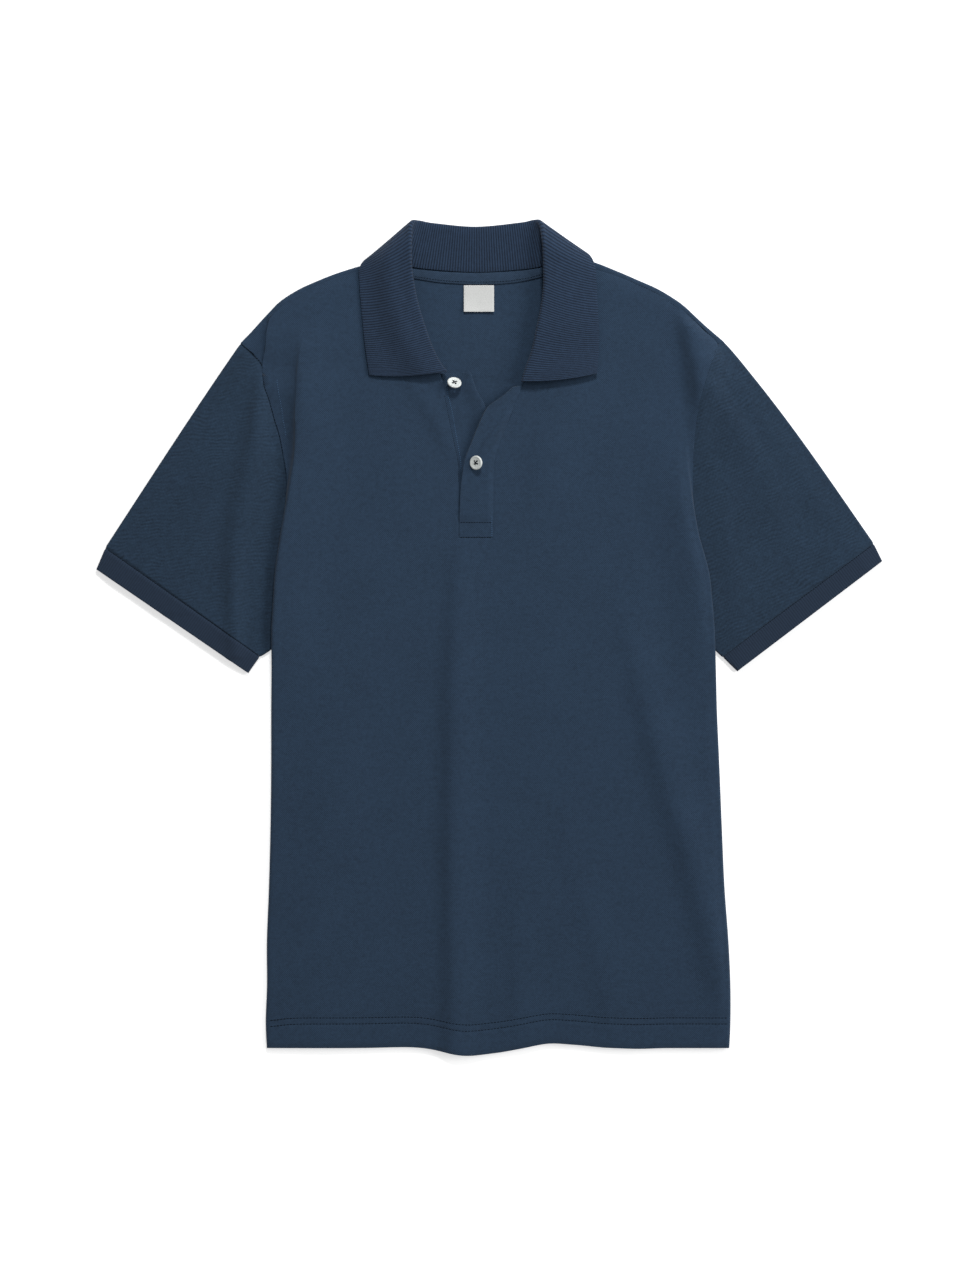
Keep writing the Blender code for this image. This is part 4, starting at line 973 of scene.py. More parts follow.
def blended_row(rows, t):
    """A row between the table's rows: its columns, then its slope and how far it lies on the sleeve."""
    spelled = []
    for row in rows:
        seam_x, seam_y, edge_x, edge_y = row[:4]
        under, bow = row[7:]
        outside = 0 if under else 1
        slope = outside * (edge_y - seam_y) / (edge_x - seam_x)
        spelled.append((*row[:7], under or SEAM_LEVEL_AT_CROSSING, bow, slope, outside))
    return through(spelled, t)


def row_stations():
    """How far up the table's rows each row of the front's mesh lies."""
    stations = []
    for k, (low, high) in enumerate(zip(LEFT_ROWS, LEFT_ROWS[1:])):
        spacing = HEM_ROW_SPACING if k == 0 else ROW_SPACING
        reach = max(high[1] - low[1], high[5] - low[5])
        steps = max(2, round(reach / spacing))
        stations += [k + n / steps for n in range(steps)]
    return stations + [len(LEFT_ROWS) - 1]


def body_start(row, inward):
    """Where the flat body begins inside the turn at the edge: x, y."""
    x = row[2] + inward * (PIQUE / 2 + row[6])
    return x, row[3] + row[9] * (x - row[2])


def turn_point(row, inward, q):
    """A point of the cloth that turns at the side, from the seam (0) to the body (1)."""
    seam_x, seam_y, edge_x = row[:3]
    bend, under, bow = row[6:9]
    outside = min(max(row[10], 0.0), 1.0)
    rim = edge_x + inward * PIQUE / 2
    body_x, body_y = body_start(row, inward)
    turned = min((seam_x - rim) * inward, KNEE)
    knee_x = rim + inward * turned
    bulge_x = rim - inward * (bend + turned) / 6
    body_z = front_level(body_x, body_y) - outside * armhole_fold(body_x, body_y)
    seam_z = under + (sleeve_level(seam_x, seam_y) - armhole_fold(seam_x, seam_y) - under) * outside
    x, z = cubic(((knee_x, seam_z), (bulge_x, seam_z), (bulge_x, body_z), (body_x, body_z)), q)
    q += ((x - seam_x) / (body_x - seam_x) - q) * outside
    y = seam_y + (body_y - seam_y) * q + bow * TURN_BOW[inward] * arch(q)
    return x, y, z + outside * armhole_fold(x, y)


def body_point(row, inward, s):
    """A point of the front between the neck or slit (0) and the side's turn (1)."""
    x, y = mix(row[4:6], body_start(row, inward), s)
    y += row[8] * arch(s)
    return x, y, front_level(x, y)


def front_columns():
    """Part, side (1 left, -1 right) and place of each column of the front's mesh, left to right."""
    columns = [("seam", 1, 0)]
    columns += [("turn", 1, s) for s in spread(0, 1, TURN_CUTS)]
    columns += [("flat", 1, 1 - k / LEFT_CUTS) for k in range(1, LEFT_CUTS + 1)]
    columns += [("slit", 0, k / SLIT_CUTS) for k in range(1, SLIT_CUTS)]
    columns += [("flat", -1, s) for s in spread(0, 1, RIGHT_CUTS)]
    columns += [("turn", -1, 1 - k / TURN_CUTS) for k in range(1, TURN_CUTS + 1)]
    return columns + [("seam", -1, 0)]


def make_front():
    """The front, cut in one, with its slit, neckline, hem and turned sides."""
    stations = row_stations()
    columns = front_columns()
    sides = [(blended_row(LEFT_ROWS, t), blended_row(RIGHT_ROWS, t)) for t in stations]
    slit_start = columns.index(("flat", 1, 0))
    slit_end = columns.index(("flat", -1, 0))

    def point(column, row):
        part, inward, s = columns[column]
        left, right = sides[row]
        half = left if inward == 1 else right
        if part == "slit":
            x, y = mix(left[4:6], right[4:6], s)
            z = front_level(x, y)
        elif part == "flat":
            x, y, z = body_point(half, inward, s)
        else:
            x, y, z = turn_point(half, inward, s)
        if part == "seam":
            x = half[0]
        else:
            z += hem_relief(y) * (ease(2 * s - 1) if part == "turn" else 1)
        return x, y + hem_wave(x, y), z

    def cut(column, row):
        return stations[row] >= SLIT_ROW and slit_start <= column < slit_end

    piece = cloth_grid("front_panel", len(columns) - 1, len(stations) - 1, point, PIQUE,
                       BODY_PIQUE, cut=cut)
    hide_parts("front")
    return piece


def seam_line(rows, armhole_top, tip, from_row=0):
    """Side seam and armhole from the hem or the underarm up to the tip of the shoulder."""
    return [row[0:2] for row in rows[from_row:armhole_top + 1]] + list(tip)


def top_direction(column):
    """Level direction in which the back's upper edge faces at a point of TOP_LINE."""
    if column == 0:
        return (Vector(LEFT_TIP[1]) - Vector(LEFT_TIP[0])).normalized()
    if column == len(TOP_LINE) - 1:
        return (Vector(RIGHT_TIP[0]) - Vector(RIGHT_ROWS[RIGHT_ARMHOLE_TOP][:2])).normalized()
    if TOP_LINE[column][3] < 1:
        return Vector((0, 1))
    sides = [column - 1, column + 1]
    for k in (0, 1):
        if TOP_LINE[sides[k]][3] < 1:
            sides[k] = column
    along = Vector(TOP_LINE[sides[1]][:2]) - Vector(TOP_LINE[sides[0]][:2])
    return Vector((-along.y, along.x)).normalized()


def top_columns():
    """TOP_LINE with its direction and where the back's strip ends at each point."""
    rows = []
    for k, (x, y, inside, rise) in enumerate(TOP_LINE):
        outward = top_direction(k)
        end = Vector((x, y)) - outward * (inside + SEAM_CLOSE * rise)
        if 1 <= k <= len(LEFT_STRIP):
            end = Vector(LEFT_STRIP[k - 1])
        if k >= len(TOP_LINE) - len(RIGHT_STRIP):
            end = Vector(RIGHT_STRIP[k - len(TOP_LINE)])
        rows.append((x, y, inside, rise, *outward, *end))
    return rows


def stepped(points, spacing):
    """Places along a line of table points, counted in points, about a spacing apart."""
    places = []
    for k, (a, b) in enumerate(zip(points, points[1:])):
        steps = max(1, round(math.dist(a[:2], b[:2]) / spacing))
        places += [k + n / steps for n in range(steps)]
    return places + [len(points) - 1]


def front_shoulder(rows, inward):
    """The front's shoulder seam, from the armhole to the neck."""
    row = blended_row(rows, len(rows) - 1)
    return [tuple(row[0:2])] + [body_point(row, inward, s)[:2] for s in spread(1, 0, SHOULDER_CUTS)]


def nearest(line, x, y):
    """The point of a line that lies nearest to a point."""
    best = None
    for (x0, y0), (x1, y1) in zip(line, line[1:]):
        length = math.dist((x0, y0), (x1, y1))
        t = min(max(((x - x0) * (x1 - x0) + (y - y0) * (y1 - y0)) / length ** 2, 0.0), 1.0)
        spot = mix((x0, y0), (x1, y1), t)
        if best is None or math.dist(spot, (x, y)) < math.dist(best, (x, y)):
            best = spot
    return best


def make_back():
    """The back, flat on the floor and wrapped over the shoulder line to the front's seam."""
    shoulders = (front_shoulder(LEFT_ROWS, 1), front_shoulder(RIGHT_ROWS, -1))
    left = seam_line(LEFT_ROWS, LEFT_ARMHOLE_TOP, LEFT_TIP)
    right = seam_line(RIGHT_ROWS, RIGHT_ARMHOLE_TOP, RIGHT_TIP)
    left[-1] = tuple(Vector(TOP_LINE[0][:2]) - top_direction(0) * BACK_ROLL_INSET)
    right[-1] = tuple(Vector(TOP_LINE[-1][:2]) - top_direction(len(TOP_LINE) - 1) * BACK_ROLL_INSET)
    tops = top_columns()
    across = stepped(TOP_LINE, BACK_SPACING)
    upward = stepped(left, BACK_SPACING)
    last = len(upward) - 1
    corners = (left[0], right[0], left[-1], right[-1])

    def point(column, row):
        t = across[column]
        low, high = tops[int(t)], tops[min(int(t) + 1, len(tops) - 1)]
        top_x, top_y, inside, rise, out_x, out_y, end_x, end_y = mix(low, high, t - int(t))
        top_x, top_y = through(TOP_LINE, t)[:2]
        top = Vector((top_x, top_y))
        outward = Vector((out_x, out_y)).normalized()
        flat_top = top - outward * BACK_ROLL_INSET
        u = t / (len(TOP_LINE) - 1)
        if row <= last:
            v = upward[row] / (len(left) - 1)
            side = mix(through(left, upward[row]), through(right, upward[row]), u)
            bottom = mix(corners[0], corners[1], u)
            crosswise = mix(bottom, flat_top, v)
            corner = mix(bottom, mix(corners[2], corners[3], u), v)
            x = crosswise[0] + side[0] - corner[0]
            y = crosswise[1] + side[1] - corner[1]
            return x, y + hem_wave(x, y), FLOOR_LAYER
        z = FLOOR_LAYER + (SHOULDER_LEVEL - FLOOR_LAYER) * rise
        if row - last == BACK_ROLL_CUTS + 1:
            if rise == 1 and len(LEFT_STRIP) < t < len(TOP_LINE) - len(RIGHT_STRIP):
                end_x, end_y = nearest(shoulders[0 if end_x < 0 else 1], end_x, end_y)
            return end_x, end_y, z
        arc_end = inside - math.copysign(BACK_ROLL_END, inside)
        out = top - outward * (PIQUE / 2 - (BACK_ROLL_INSET + arc_end) / 6)
        end = top - outward * arc_end
        z -= STRIP_FALL * ease(t) * ease(len(LEFT_STRIP) + 1 - t)
        curve = ((*flat_top, FLOOR_LAYER), (*out, FLOOR_LAYER), (*out, z), (*end, z))
        return cubic(curve, (row - last) / BACK_ROLL_CUTS)

    piece = cloth_grid("back_panel", len(across) - 1, last + BACK_ROLL_CUTS + 1, point, PIQUE,
                       BODY_PIQUE)
    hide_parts("back")
    return piece


# ---------------------------------------------------------------- sleeves and cuffs

def even_line(points):
    """A function that gives the point a fraction of the way along a line of points."""
    points = [Vector(p) for p in points]
    total = sum((b - a).length for a, b in zip(points, points[1:]))
    return lambda t: along_line(points, t * total)[0]


def ring_of(line, wall, level):
    """A flattened ring of cloth: the upper layer along a line, rolled at both ends, then the lower."""
    low = wall / 2
    points = [(x, y, level(x, y)) for x, y in line]
    for end, beside, order in ((-1, -2, 1), (0, 1, -1)):
        tip = Vector(line[end])
        away = (tip - Vector(line[beside])).normalized()
        radius = (level(*line[end]) - low) / 2
        for turn in spread(0, math.pi, ROLL_CUTS)[1:-1]:
            out = tip + away * radius * math.sin(turn)
            points.append((out.x, out.y, low + radius + order * radius * math.cos(turn)))
        if end == -1:
            points += [(x, y, low) for x, y in reversed(line)]
    return points


def make_tube(name, node, lines, wall, level, material):
    """A flattened tube through rings along several lines."""
    rings = [ring_of(line, wall, lambda x, y: level(x, y) - dip) for line, dip in lines]
    around = len(rings[0])
    piece = cloth_grid(name, around, len(rings) - 1, lambda c, r: rings[r][c % around], wall,
                       material, closed=True)
    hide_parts(node)
    return piece


def tube_line(start, end, s, inset, bow, inner_bow):
    """The line of one ring, between two lines given by fractions along them."""
    def point(t):
        x, y = mix(start(t), end(t), s)
        return Vector((x + math.copysign(bow * (1 - t), x), y - inner_bow * arch(s) * t * t))

    trim = inset / (point(0) - point(1)).length
    return [tuple(point(t)) for t in spread(trim, 1 - trim, SLEEVE_AROUND)]


def seam_dip(distance, dip):
    """How far cloth dips where it runs into a seam."""
    depth, width = dip
    return depth * (1 - ease(distance / width))


def make_sleeve(side, rows, armhole_top, tip, seam, edge, materials):
    """A sleeve from its armhole to the cuff seam, and its rib cuff."""
    armhole_points = list(reversed(seam_line(rows, armhole_top, tip, UNDERARM_ROW)))
    armhole = even_line([through(armhole_points, t) for t in stepped(armhole_points, EDGE_SPACING)])
    cuff_seam = even_line(seam)
    cuff_edge = even_line(edge)
    length = (armhole(0.5) - cuff_seam(0.5)).length
    lines = []
    for t in spread(0, 1, SLEEVE_RINGS):
        s = t - RING_CROWDING * math.sin(2 * math.pi * t)
        dip = seam_dip(s * length, ARMHOLE_DIP[side]) + seam_dip((1 - s) * length, CUFF_DIP)
        line = tube_line(armhole, cuff_seam, s, SLEEVE_INSET, outer_bow(side, s), INNER_BOW[side])
        lines.append((line, dip))
    sleeve = make_tube(f"{side}_sleeve_panel", f"sleeve_{side}", lines, PIQUE, sleeve_level,
                       materials[0])
    length = (cuff_seam(0.5) - cuff_edge(0.5)).length
    lines = [(tube_line(cuff_seam, cuff_edge, s, CUFF_INSET, 0, 0), seam_dip(s * length, CUFF_DIP))
             for s in spread(0, 1, CUFF_RINGS)]
    cuff = make_tube(f"{side}_cuff_band", f"cuff_{side}", lines, RIB, cuff_level, materials[1])
    return sleeve, cuff


# ---------------------------------------------------------------- collar, plackets and trim

def collar_section(row):
    """Points across the collar: neck seam, stand, fold, fall, outer edge."""
    neck_x, neck_y, fold_x, fold_y, edge_x, edge_y, fold_z, lift, lean = row
    under = ease(lean / 180)
    over_neck = ease((lean - 90) / 90)
    step = PIQUE / 2 + AIR + RIB / 2
    neck_z = (front_level(neck_x, neck_y) + step) * (1 - over_neck) + (FLOOR_LAYER + step) * over_neck
    edge_z = (front_level(edge_x, edge_y) + step) * (1 - under) + (RIB / 2 + UNDER_GAP) * under + lift
    neck = Vector((neck_x, neck_y, neck_z))
    edge = Vector((edge_x, edge_y, edge_z))
    middle = (neck + edge) / 2
    angle = math.radians(lean)
    over = max(0.0, math.cos(angle))
    level = Vector((fold_x - middle.x, fold_y - middle.y, 0)).normalized()
    beside = Vector((-level.y, level.x, 0))
    if beside.dot(edge - neck) < 0:
        beside = -beside
    outward = (level + Vector((0, 0, FOLD_RISE * math.sin(angle)))).normalized()
    upright = outward.cross(beside)
    if upright.z < 0:
        upright = -upright
    to_fall = upright * math.cos(angle) + beside * math.sin(angle)
    centre = Vector((fold_x, fold_y, fold_z)) - outward * (RIB / 2 + FOLD_RADIUS)
    arc = [centre + (outward * math.cos(turn) + to_fall * math.sin(turn)) * FOLD_RADIUS
           for turn in map(math.radians, FOLD_ANGLES)]
    upswing = Vector((0, 0, STAND_RISE * math.sin(angle) ** 2))
    points = [neck.lerp(arc[0], t) + upswing * arch(t) for t in spread(0, 1, STAND_STEPS)[:-1]] + arc
    for t in spread(0, 1, FALL_STEPS)[1:]:
        crown = COLLAR_CROWN * arch(t)
        if fold_x < 0:
            middle = BAND_LOW + (BAND_HIGH - BAND_LOW) * ease((neck_y - COLLAR_ROWS[0][1]) / BAND_REACH)
            crown += BAND_RISE * bell(t - middle + BAND_HALF, BAND_HALF)
            crown -= BAND_DIP * bell(t - middle - BAND_HALF, BAND_HALF)
        bow = Vector((0, -COLLAR_SAG * arch(t), crown)) * over
        points.append(arc[-1].lerp(edge, t) + bow)
    return points


def make_collar():
    """The one-piece knitted collar, folded along its roll line."""
    count = (len(COLLAR_ROWS) - 1) * COLLAR_STEPS
    rows = [through(COLLAR_ROWS, k / COLLAR_STEPS) for k in range(count + 1)]
    sections = [collar_section(row) for row in rows]
    along = [0.0]
    for low, high in zip(rows, rows[1:]):
        along.append(along[-1] + (math.dist(low[0:2], high[0:2]) + math.dist(low[2:4], high[2:4])) / 2)
    spans = []
    for section in sections:
        span = [0.0]
        for a, b in zip(section, section[1:]):
            span.append(span[-1] + (b - a).length)
        spans.append(span)
    piece = cloth_grid("collar_knit", count, len(sections[0]) - 1, lambda c, r: sections[c][r], RIB,
                       COLLAR_RIB, lay=lambda c, r: (along[c] * MM, spans[c][r] * MM),
                       rounding=RIB_ROUNDING)
    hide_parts("collar")
    return piece


def facing_point(rows, t, across, height):
    """A point of a facing: the upper one is flush with the front at its seam and its foot."""
    left_x, left_y, right_x, right_y, *lift = through(rows, t)
    x, y = mix((left_x, left_y), (right_x, right_y), across)
    raised = 0
    if lift:
        seam = ease((1 - across) * (right_x - left_x) / FLUSH_WIDTH)
        foot = ease((y - BOX_TOP) / BOX_RISE)
        height = FLUSH_HEIGHT + (height - FLUSH_HEIGHT) * seam * foot
        raised = lift[0] * (1 - across) ** 2 + folds_at(FACING_FOLDS, x, y)
        if across == 1:
            x += TUCK_WIDTH
            raised -= TUCK_DEPTH
    else:
        height_at_edge, start, low_y, reach = UNDER_RISE
        raised = height_at_edge * ease((across - start) / (1 - start)) * ease((y - low_y) / reach)
    return x, y, front_level(x, y) + height + raised


def make_facing(name, node, rows, height, cuts):
    """A doubled strip of the placket, between its two edges."""
    stations = stepped(rows, EDGE_SPACING)

    def point(column, row):
        return facing_point(rows, stations[row], column / cuts, height)

    piece = cloth_grid(name, cuts, len(stations) - 1, point, FACING, BODY_PIQUE)
    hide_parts(node)
    return piece


def make_tape():
    """The tape that covers the back neck seam."""
    stations = stepped(TAPE_ROWS, TAPE_SPACING)

    def point(column, row):
        x, upper, lower = through(TAPE_ROWS, stations[column])
        t = row / TAPE_CUTS
        crown = TAPE_CROWN * arch(t) + TAPE_TILT * t
        return x, lower + (upper - lower) * t, PIQUE + AIR + TAPE / 2 + crown

    piece = cloth_grid("neck_seam_tape", len(stations) - 1, TAPE_CUTS, point, TAPE, TAPE_KNIT)
    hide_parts("neck_tape")
    return piece


def make_label():
    """A plain woven label below the tape, its lower corners a little lifted."""
    x, y = NECK_LABEL_CENTRE
    width, length = NECK_LABEL_SIZE

    def point(column, row):
        s, t = column / LABEL_CUTS - 0.5, row / LABEL_CUTS - 0.5
        lifted = LABEL_LIFT * (0.5 - t) ** 3 * (1 + LABEL_CORNER_LIFT * abs(s))
        return x + width * s, y + length * t, PIQUE + AIR + LABEL / 2 + LABEL_GAP + lifted

    piece = cloth_grid("woven_neck_label", LABEL_CUTS, LABEL_CUTS, point, LABEL, LABEL_WEAVE)
    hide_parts("neck_label")
    return piece


def button_pose(x, y, long_axis, tilt, height):
    """Where a button lies: its own middle, turned and tilted."""
    return (Matrix.Translation(place((x, y, height)))
            @ Matrix.Rotation(math.radians(long_axis), 4, 'Z')
            @ Matrix.Rotation(math.radians(tilt), 4, 'X')
            @ Matrix.Translation((0, 0, -BUTTON_THICKNESS / 2 * MM)))


def bore(piece, pose, spots):
    """Cuts a round hole through a button at each spot."""
    bm = bmesh.new()
    for spot in spots:
        bmesh.ops.create_cone(bm, cap_ends=True, segments=20, radius1=BUTTON_HOLE / 2 * MM,
                              radius2=BUTTON_HOLE / 2 * MM, depth=3 * BUTTON_THICKNESS * MM,
                              matrix=pose @ Matrix.Translation(spot))
    mesh = bpy.data.meshes.new("button_holes")
    bm.to_mesh(mesh)
    bm.free()
    holes = bpy.data.objects.new("button_holes", mesh)
    SHIRT.objects.link(holes)
    cut = piece.modifiers.new("holes", 'BOOLEAN')
    cut.operation = 'DIFFERENCE'
    cut.object = holes
    shaped = bpy.data.meshes.new_from_object(piece.evaluated_get(bpy.context.evaluated_depsgraph_get()))
    piece.modifiers.remove(cut)
    piece.data = shaped
    bpy.data.objects.remove(holes, do_unlink=True)


def make_button(node, name, facing_height):
    """A turned four-hole button with its crossed threads and its shank."""
    pose = button_pose(*BUTTONS[node])
    bm = bmesh.new()
    profile = [bm.verts.new((BUTTON_DIAMETER / 2 * out * MM, 0, BUTTON_THICKNESS * up * MM))
               for out, up in BUTTON_PROFILE]
    edges = [bm.edges.new(pair) for pair in zip(profile, profile[1:])]
    bmesh.ops.spin(bm, geom=profile + edges, cent=(0, 0, 0), axis=(0, 0, 1),
                   angle=2 * math.pi, steps=BUTTON_SIDES, use_merge=True)
    bmesh.ops.remove_doubles(bm, verts=bm.verts, dist=WELD)
    bmesh.ops.recalc_face_normals(bm, faces=bm.faces)
    bm.transform(pose)
    piece = finish_mesh(name, bm, PEARL_BUTTON)
    reach = BUTTON_HOLE_PITCH / math.sqrt(2)
    spots = []
    for corner in range(4):
        turn = math.radians(45 + 90 * corner)
        spots.append(Vector((reach * math.cos(turn), reach * math.sin(turn), 0)) * MM)
    bore(piece, pose, spots)
    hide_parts(node)

    bm = bmesh.new()
    top = (BUTTON_THICKNESS * BUTTON_DISH + STRAND_HEIGHT) * MM
    for start, end in ((spots[0], spots[2]), (spots[1], spots[3])):
        for side in (-STRAND_OFFSET, STRAND_OFFSET):
            offset = Vector((side, -side, 0)) * MM
            strand = []
            for s in spread(0, 1, STRAND_STEPS):
                dive = STRAND_DIVE * abs(2 * s - 1) ** 6 * MM
                strand.append(pose @ (start.lerp(end, s) + offset + Vector((0, 0, top - dive))))
            thread_run(bm, strand, BUTTON_THREAD)
    shank_top = pose @ Vector((0, 0, SHANK_TOP * MM))
    ground = front_level(shank_top.x / MM, shank_top.y / MM) + facing_height
    foot = Vector((shank_top.x, shank_top.y, ground * MM))
    thread_run(bm, [shank_top.lerp(foot, t) for t in spread(0, 1, SHANK_STEPS)], SHANK_RADIUS)
    finish_mesh(name + "_thread", bm, THREAD_AND_SEAM_SHADE)


# ---------------------------------------------------------------- sewing

def make_hem_stitches():
    """Two rows of stitches that hold the turned hem."""
    bm = bmesh.new()
    dip, end, width = HEM_END_DIP
    for line in HEM_STITCHES:
        points = []
        for x in spread(*HEM_STITCH_ENDS, HEM_LINE_STEPS):
            y = line - dip * bell(x - end, width)
            points.append((x, y + hem_wave(x, y), front_level(x, y) + PIQUE / 2 + hem_relief(y)))
        sew(bm, "hem", points)
    return finish_mesh("hem_stitches", bm, THREAD_AND_SEAM_SHADE)


def on_facing(rows, row, across, height):
    """A point on a facing's upper face, at a row of its table and a fraction across it."""
    x, y, z = facing_point(rows, row, across, height)
    return x, y, z + FACING / 2


def facing_line(rows, height, across, first, last):
    """A line on a facing, a fraction across it, between two rows."""
    return [on_facing(rows, row, across, height) for row in spread(first, last, SEAM_LINE_STEPS)]


def make_placket_stitches():
    """Stitches round the placket's box and along the slit, and the overlocking of both facings."""
    bm = bmesh.new()
    for row in BOX_ROWS:
        sew(bm, "box", [on_facing(TOP_FACING, row, t, TOP_FACING_HEIGHT)
                        for t in spread(*BOX_REACH, BOX_LINE_STEPS)])
    slit = [row[4:6] for row in LEFT_ROWS if SLIT_SEAM[0] < row[5] < SLIT_SEAM[1]]
    points = []
    for t in spread(0, len(slit) - 1, SLIT_LINE_STEPS):
        x, y = through(slit, t)
        x -= SLIT_SEAM_OFFSET
        points.append((x, y, front_level(x, y) + PIQUE / 2))
    sew(bm, "slit", points)
    dark = finish_mesh("placket_stitches", bm, THREAD_AND_SEAM_SHADE)
    bm = bmesh.new()
    sew(bm, "upper overlock", facing_line(TOP_FACING, TOP_FACING_HEIGHT, *UPPER_OVERLOCK))
    sew(bm, "under overlock", facing_line(UNDER_FACING, UNDER_FACING_HEIGHT, *UNDER_OVERLOCK))
    overlock = finish_mesh("placket_overlock", bm, LIGHT_THREAD)
    return dark, overlock


def make_seam_stitches():
    """Dark stitches of the right shoulder, left armhole and cuff seams, which also paint the shade in those
    seams, and the armhole's overlocking.
    """
    bm = bmesh.new()
    sew(bm, "shoulder", [(x, y, SHOULDER_LEVEL + PIQUE / 2) for x, y in front_shoulder(RIGHT_ROWS, -1)
                         if x > SHOULDER_SEAM_START])
    armhole = seam_line(LEFT_ROWS, LEFT_ARMHOLE_TOP, LEFT_TIP, ARMHOLE_LINE_ROW)
    line = [through(armhole, t) for t in stepped(armhole, TAPE_SPACING)]
    sew(bm, "armhole", [(x, y, sleeve_level(x, y) + PIQUE / 2) for x, y in line])
    for seam in (LEFT_CUFF_SEAM, RIGHT_CUFF_SEAM):
        line = [mix(*seam, t) for t in spread(*CUFF_SEAM_REACH, SEAM_LINE_STEPS)]
        sew(bm, "cuff", [(x, y, sleeve_level(x, y) + PIQUE / 2 - CUFF_DIP[0]) for x, y in line])
    dark = finish_mesh("seam_stitches", bm, THREAD_AND_SEAM_SHADE)
    bm = bmesh.new()
    points = []
    for row in spread(*ARMHOLE_OVERLOCK_ROWS, OVERLOCK_STEPS):
        x, y, z = turn_point(blended_row(LEFT_ROWS, row), 1, ARMHOLE_OVERLOCK_PLACE)
        points.append((x, y, z + PIQUE / 2))
    sew(bm, "armhole overlock", points)
    overlock = finish_mesh("armhole_overlock", bm, LIGHT_THREAD)
    return dark, overlock


def make_neck_stitches():
    """Stitches along the neck tape's lower edge and the label's upper edge."""
    bm = bmesh.new()
    points = []
    for t in spread(0, len(TAPE_ROWS) - 1, TAPE_LINE_STEPS):
        x, lower = through(TAPE_ROWS, t)[::2]
        points.append((x, lower + TAPE_SEAM_INSET, PIQUE + AIR + TAPE))
    sew(bm, "tape", points)
    tape = finish_mesh("neck_tape_stitches", bm, THREAD_AND_SEAM_SHADE)
    bm = bmesh.new()
    x, y = NECK_LABEL_CENTRE
    half = NECK_LABEL_SIZE[0] / 2 - LABEL_SEAM_INSET[0]
    top = y + NECK_LABEL_SIZE[1] / 2 - LABEL_SEAM_INSET[1]
    sew(bm, "label", [(end, top, PIQUE + AIR + LABEL) for end in (x - half, x + half)])
    label = finish_mesh("label_stitches", bm, LABEL_WEAVE)
    return tape, label


# ---------------------------------------------------------------- the shirt

SHIRT = bpy.data.collections.new("polo_shirt")
bpy.context.scene.collection.children.link(SHIRT)

PIQUE_CELLS = pique_group()
RIB_WALES = rib_group()
DYE_MOTTLE = mottle_group()

BODY_PIQUE = pique_material("slate pique", 0, SLATE)
LEFT_PIQUE = pique_material("slate pique, left sleeve", -34, SLEEVE_SLATE, 0.1, 2)
RIGHT_PIQUE = pique_material("slate pique, right sleeve", 36, SLEEVE_SLATE, 0.1, 26)
COLLAR_RIB = rib_material("slate rib, collar", COLLAR_SLATE, 0.7)
LEFT_RIB = rib_material("slate rib, left cuff", CUFF_SLATE, 0.22, 35)
RIGHT_RIB = rib_material("slate rib, right cuff", CUFF_SLATE, 0.22, -37)
TAPE_KNIT = pique_material("slate tape", 0, TAPE_SLATE)
# The dark sewing thread is real stitching, and its dark shades also stand in for the shade in the seams and
# grooves it lies in (painted shade).
THREAD_AND_SEAM_SHADE = thread_material("sewing thread", (0.15, 0.4))
LIGHT_THREAD = thread_material("overlock thread", (3.6, 5.2))
LABEL_WEAVE = label_material()
PEARL_BUTTON = button_material()

front = make_front()
back = make_back()
left_sleeve, left_cuff = make_sleeve("left", LEFT_ROWS, LEFT_ARMHOLE_TOP, LEFT_TIP, LEFT_CUFF_SEAM,
                                     LEFT_CUFF_EDGE, (LEFT_PIQUE, LEFT_RIB))
right_sleeve, right_cuff = make_sleeve("right", RIGHT_ROWS, RIGHT_ARMHOLE_TOP, RIGHT_TIP, RIGHT_CUFF_SEAM,
                                       RIGHT_CUFF_EDGE, (RIGHT_PIQUE, RIGHT_RIB))
collar = make_collar()
top_facing = make_facing("upper_placket", "placket_top", TOP_FACING, TOP_FACING_HEIGHT, TOP_FACING_CUTS)
under_facing = make_facing("under_placket", "placket_under", UNDER_FACING, UNDER_FACING_HEIGHT,
                           UNDER_FACING_CUTS)
tape = make_tape()
label = make_label()
make_button("button_top", "upper_button", UNDER_FACING_HEIGHT)
make_button("button_lower", "lower_button", TOP_FACING_HEIGHT)
hem_stitches = make_hem_stitches()
placket_stitches, placket_overlock = make_placket_stitches()
seam_stitches, armhole_overlock = make_seam_stitches()
tape_stitches, label_stitches = make_neck_stitches()

# ---------------------------------------------------------------- floor, light and camera

VIEW_CENTRE = (-0.0083, -0.0032)
VIEW_HEIGHT = 1.1776
CAMERA_DISTANCE = 3.0
SHIRT_PLANE = 0.005
SENSOR_WIDTH = 36
FLOOR_HALF = 6
FLOOR_DROP = 0.0003
PAPER_WHITE = (0.88, 0.88, 0.88, 1)
WHITE = (1, 1, 1, 1)
PAPER_GLOW = 0.56
ROOM_LIGHT = 0.26
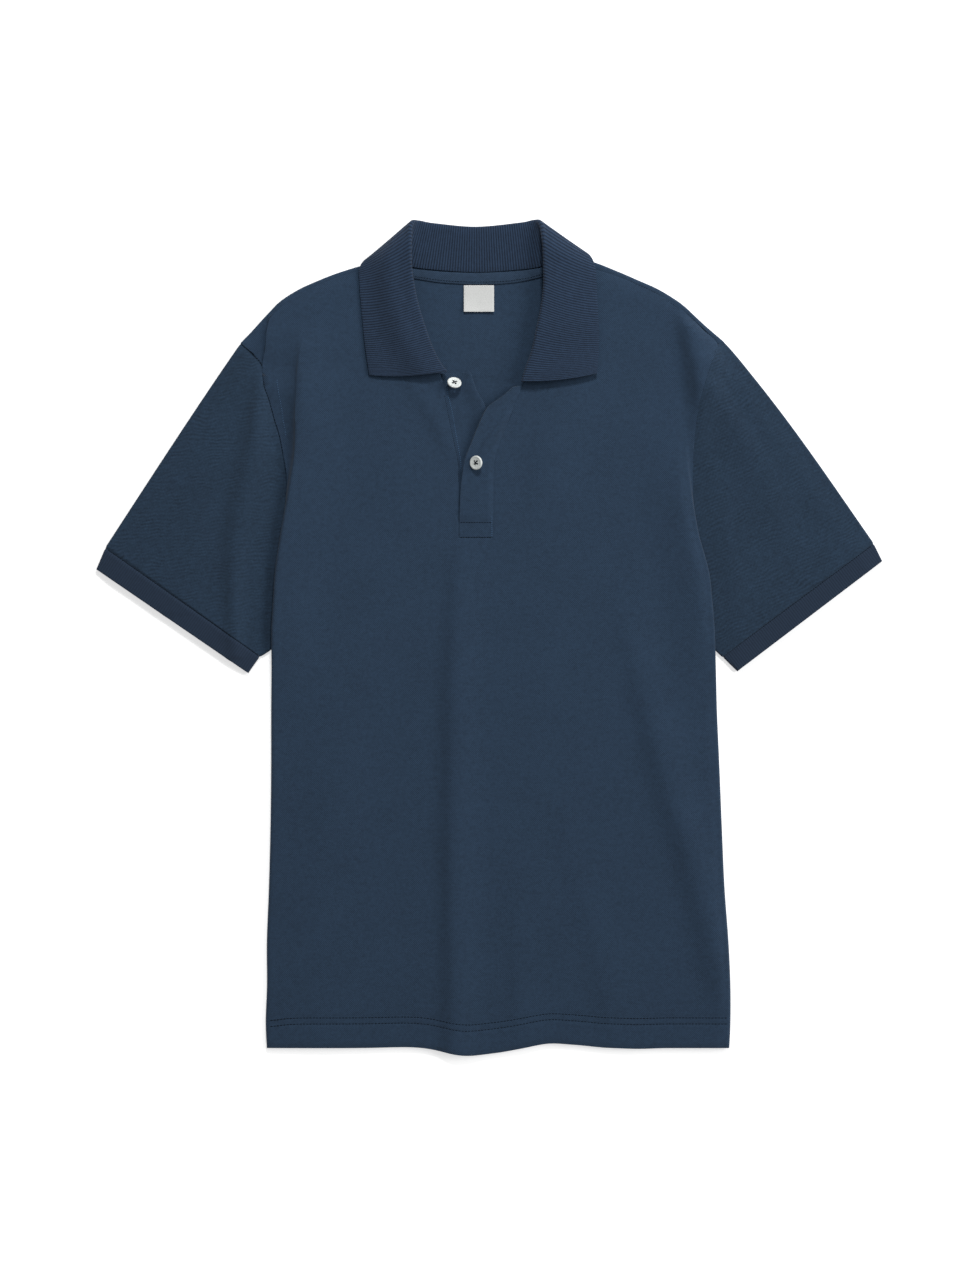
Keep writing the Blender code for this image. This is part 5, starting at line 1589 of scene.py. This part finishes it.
# Lamps: direction from the shirt, distance, size, power
LAMPS = {
    "top light": ((0.10, 0.76, 0.64), 2.8, 0.5, 40),
    "right light": ((0.83, 0.24, 0.50), 5.5, 3.0, 170),
}


def add_lamp(name, direction, distance, size, power):
    """A square soft light aimed at the middle of the shirt."""
    data = bpy.data.lights.new(name, 'AREA')
    data.shape = 'SQUARE'
    data.size = size
    data.energy = power
    lamp = bpy.data.objects.new(name, data)
    lamp.location = Vector(direction).normalized() * distance
    lamp.rotation_mode = 'QUATERNION'
    lamp.rotation_quaternion = (-Vector(direction)).to_track_quat('-Z', 'Y')
    bpy.context.scene.collection.objects.link(lamp)


bm = bmesh.new()
bmesh.ops.create_grid(bm, x_segments=1, y_segments=1, size=FLOOR_HALF)
bmesh.ops.translate(bm, verts=bm.verts, vec=(0, 0, -FLOOR_DROP))
floor_mesh = bpy.data.meshes.new("studio_floor")
bm.to_mesh(floor_mesh)
bm.free()
floor = bpy.data.objects.new("studio_floor", floor_mesh)
bpy.context.scene.collection.objects.link(floor)
paper, _, paper_shader = begin_material("white paper", PAPER_LOOK)
paper_shader.inputs["Base Color"].default_value = PAPER_WHITE
paper_shader.inputs["Emission Color"].default_value = WHITE
paper_shader.inputs["Emission Strength"].default_value = PAPER_GLOW
floor_mesh.materials.append(paper)

world = bpy.data.worlds.new("studio")
world.use_nodes = True
world.node_tree.nodes["Background"].inputs["Color"].default_value = WHITE
world.node_tree.nodes["Background"].inputs["Strength"].default_value = ROOM_LIGHT
bpy.context.scene.world = world

for lamp_name, measures in LAMPS.items():
    add_lamp(lamp_name, *measures)

camera_data = bpy.data.cameras.new("camera")
camera_data.sensor_width = SENSOR_WIDTH
camera_data.lens = SENSOR_WIDTH * CAMERA_DISTANCE / VIEW_HEIGHT
camera = bpy.data.objects.new("camera", camera_data)
camera.location = (*VIEW_CENTRE, CAMERA_DISTANCE + SHIRT_PLANE)
bpy.context.scene.collection.objects.link(camera)
bpy.context.scene.camera = camera
bpy.context.scene.view_settings.view_transform = 'Standard'
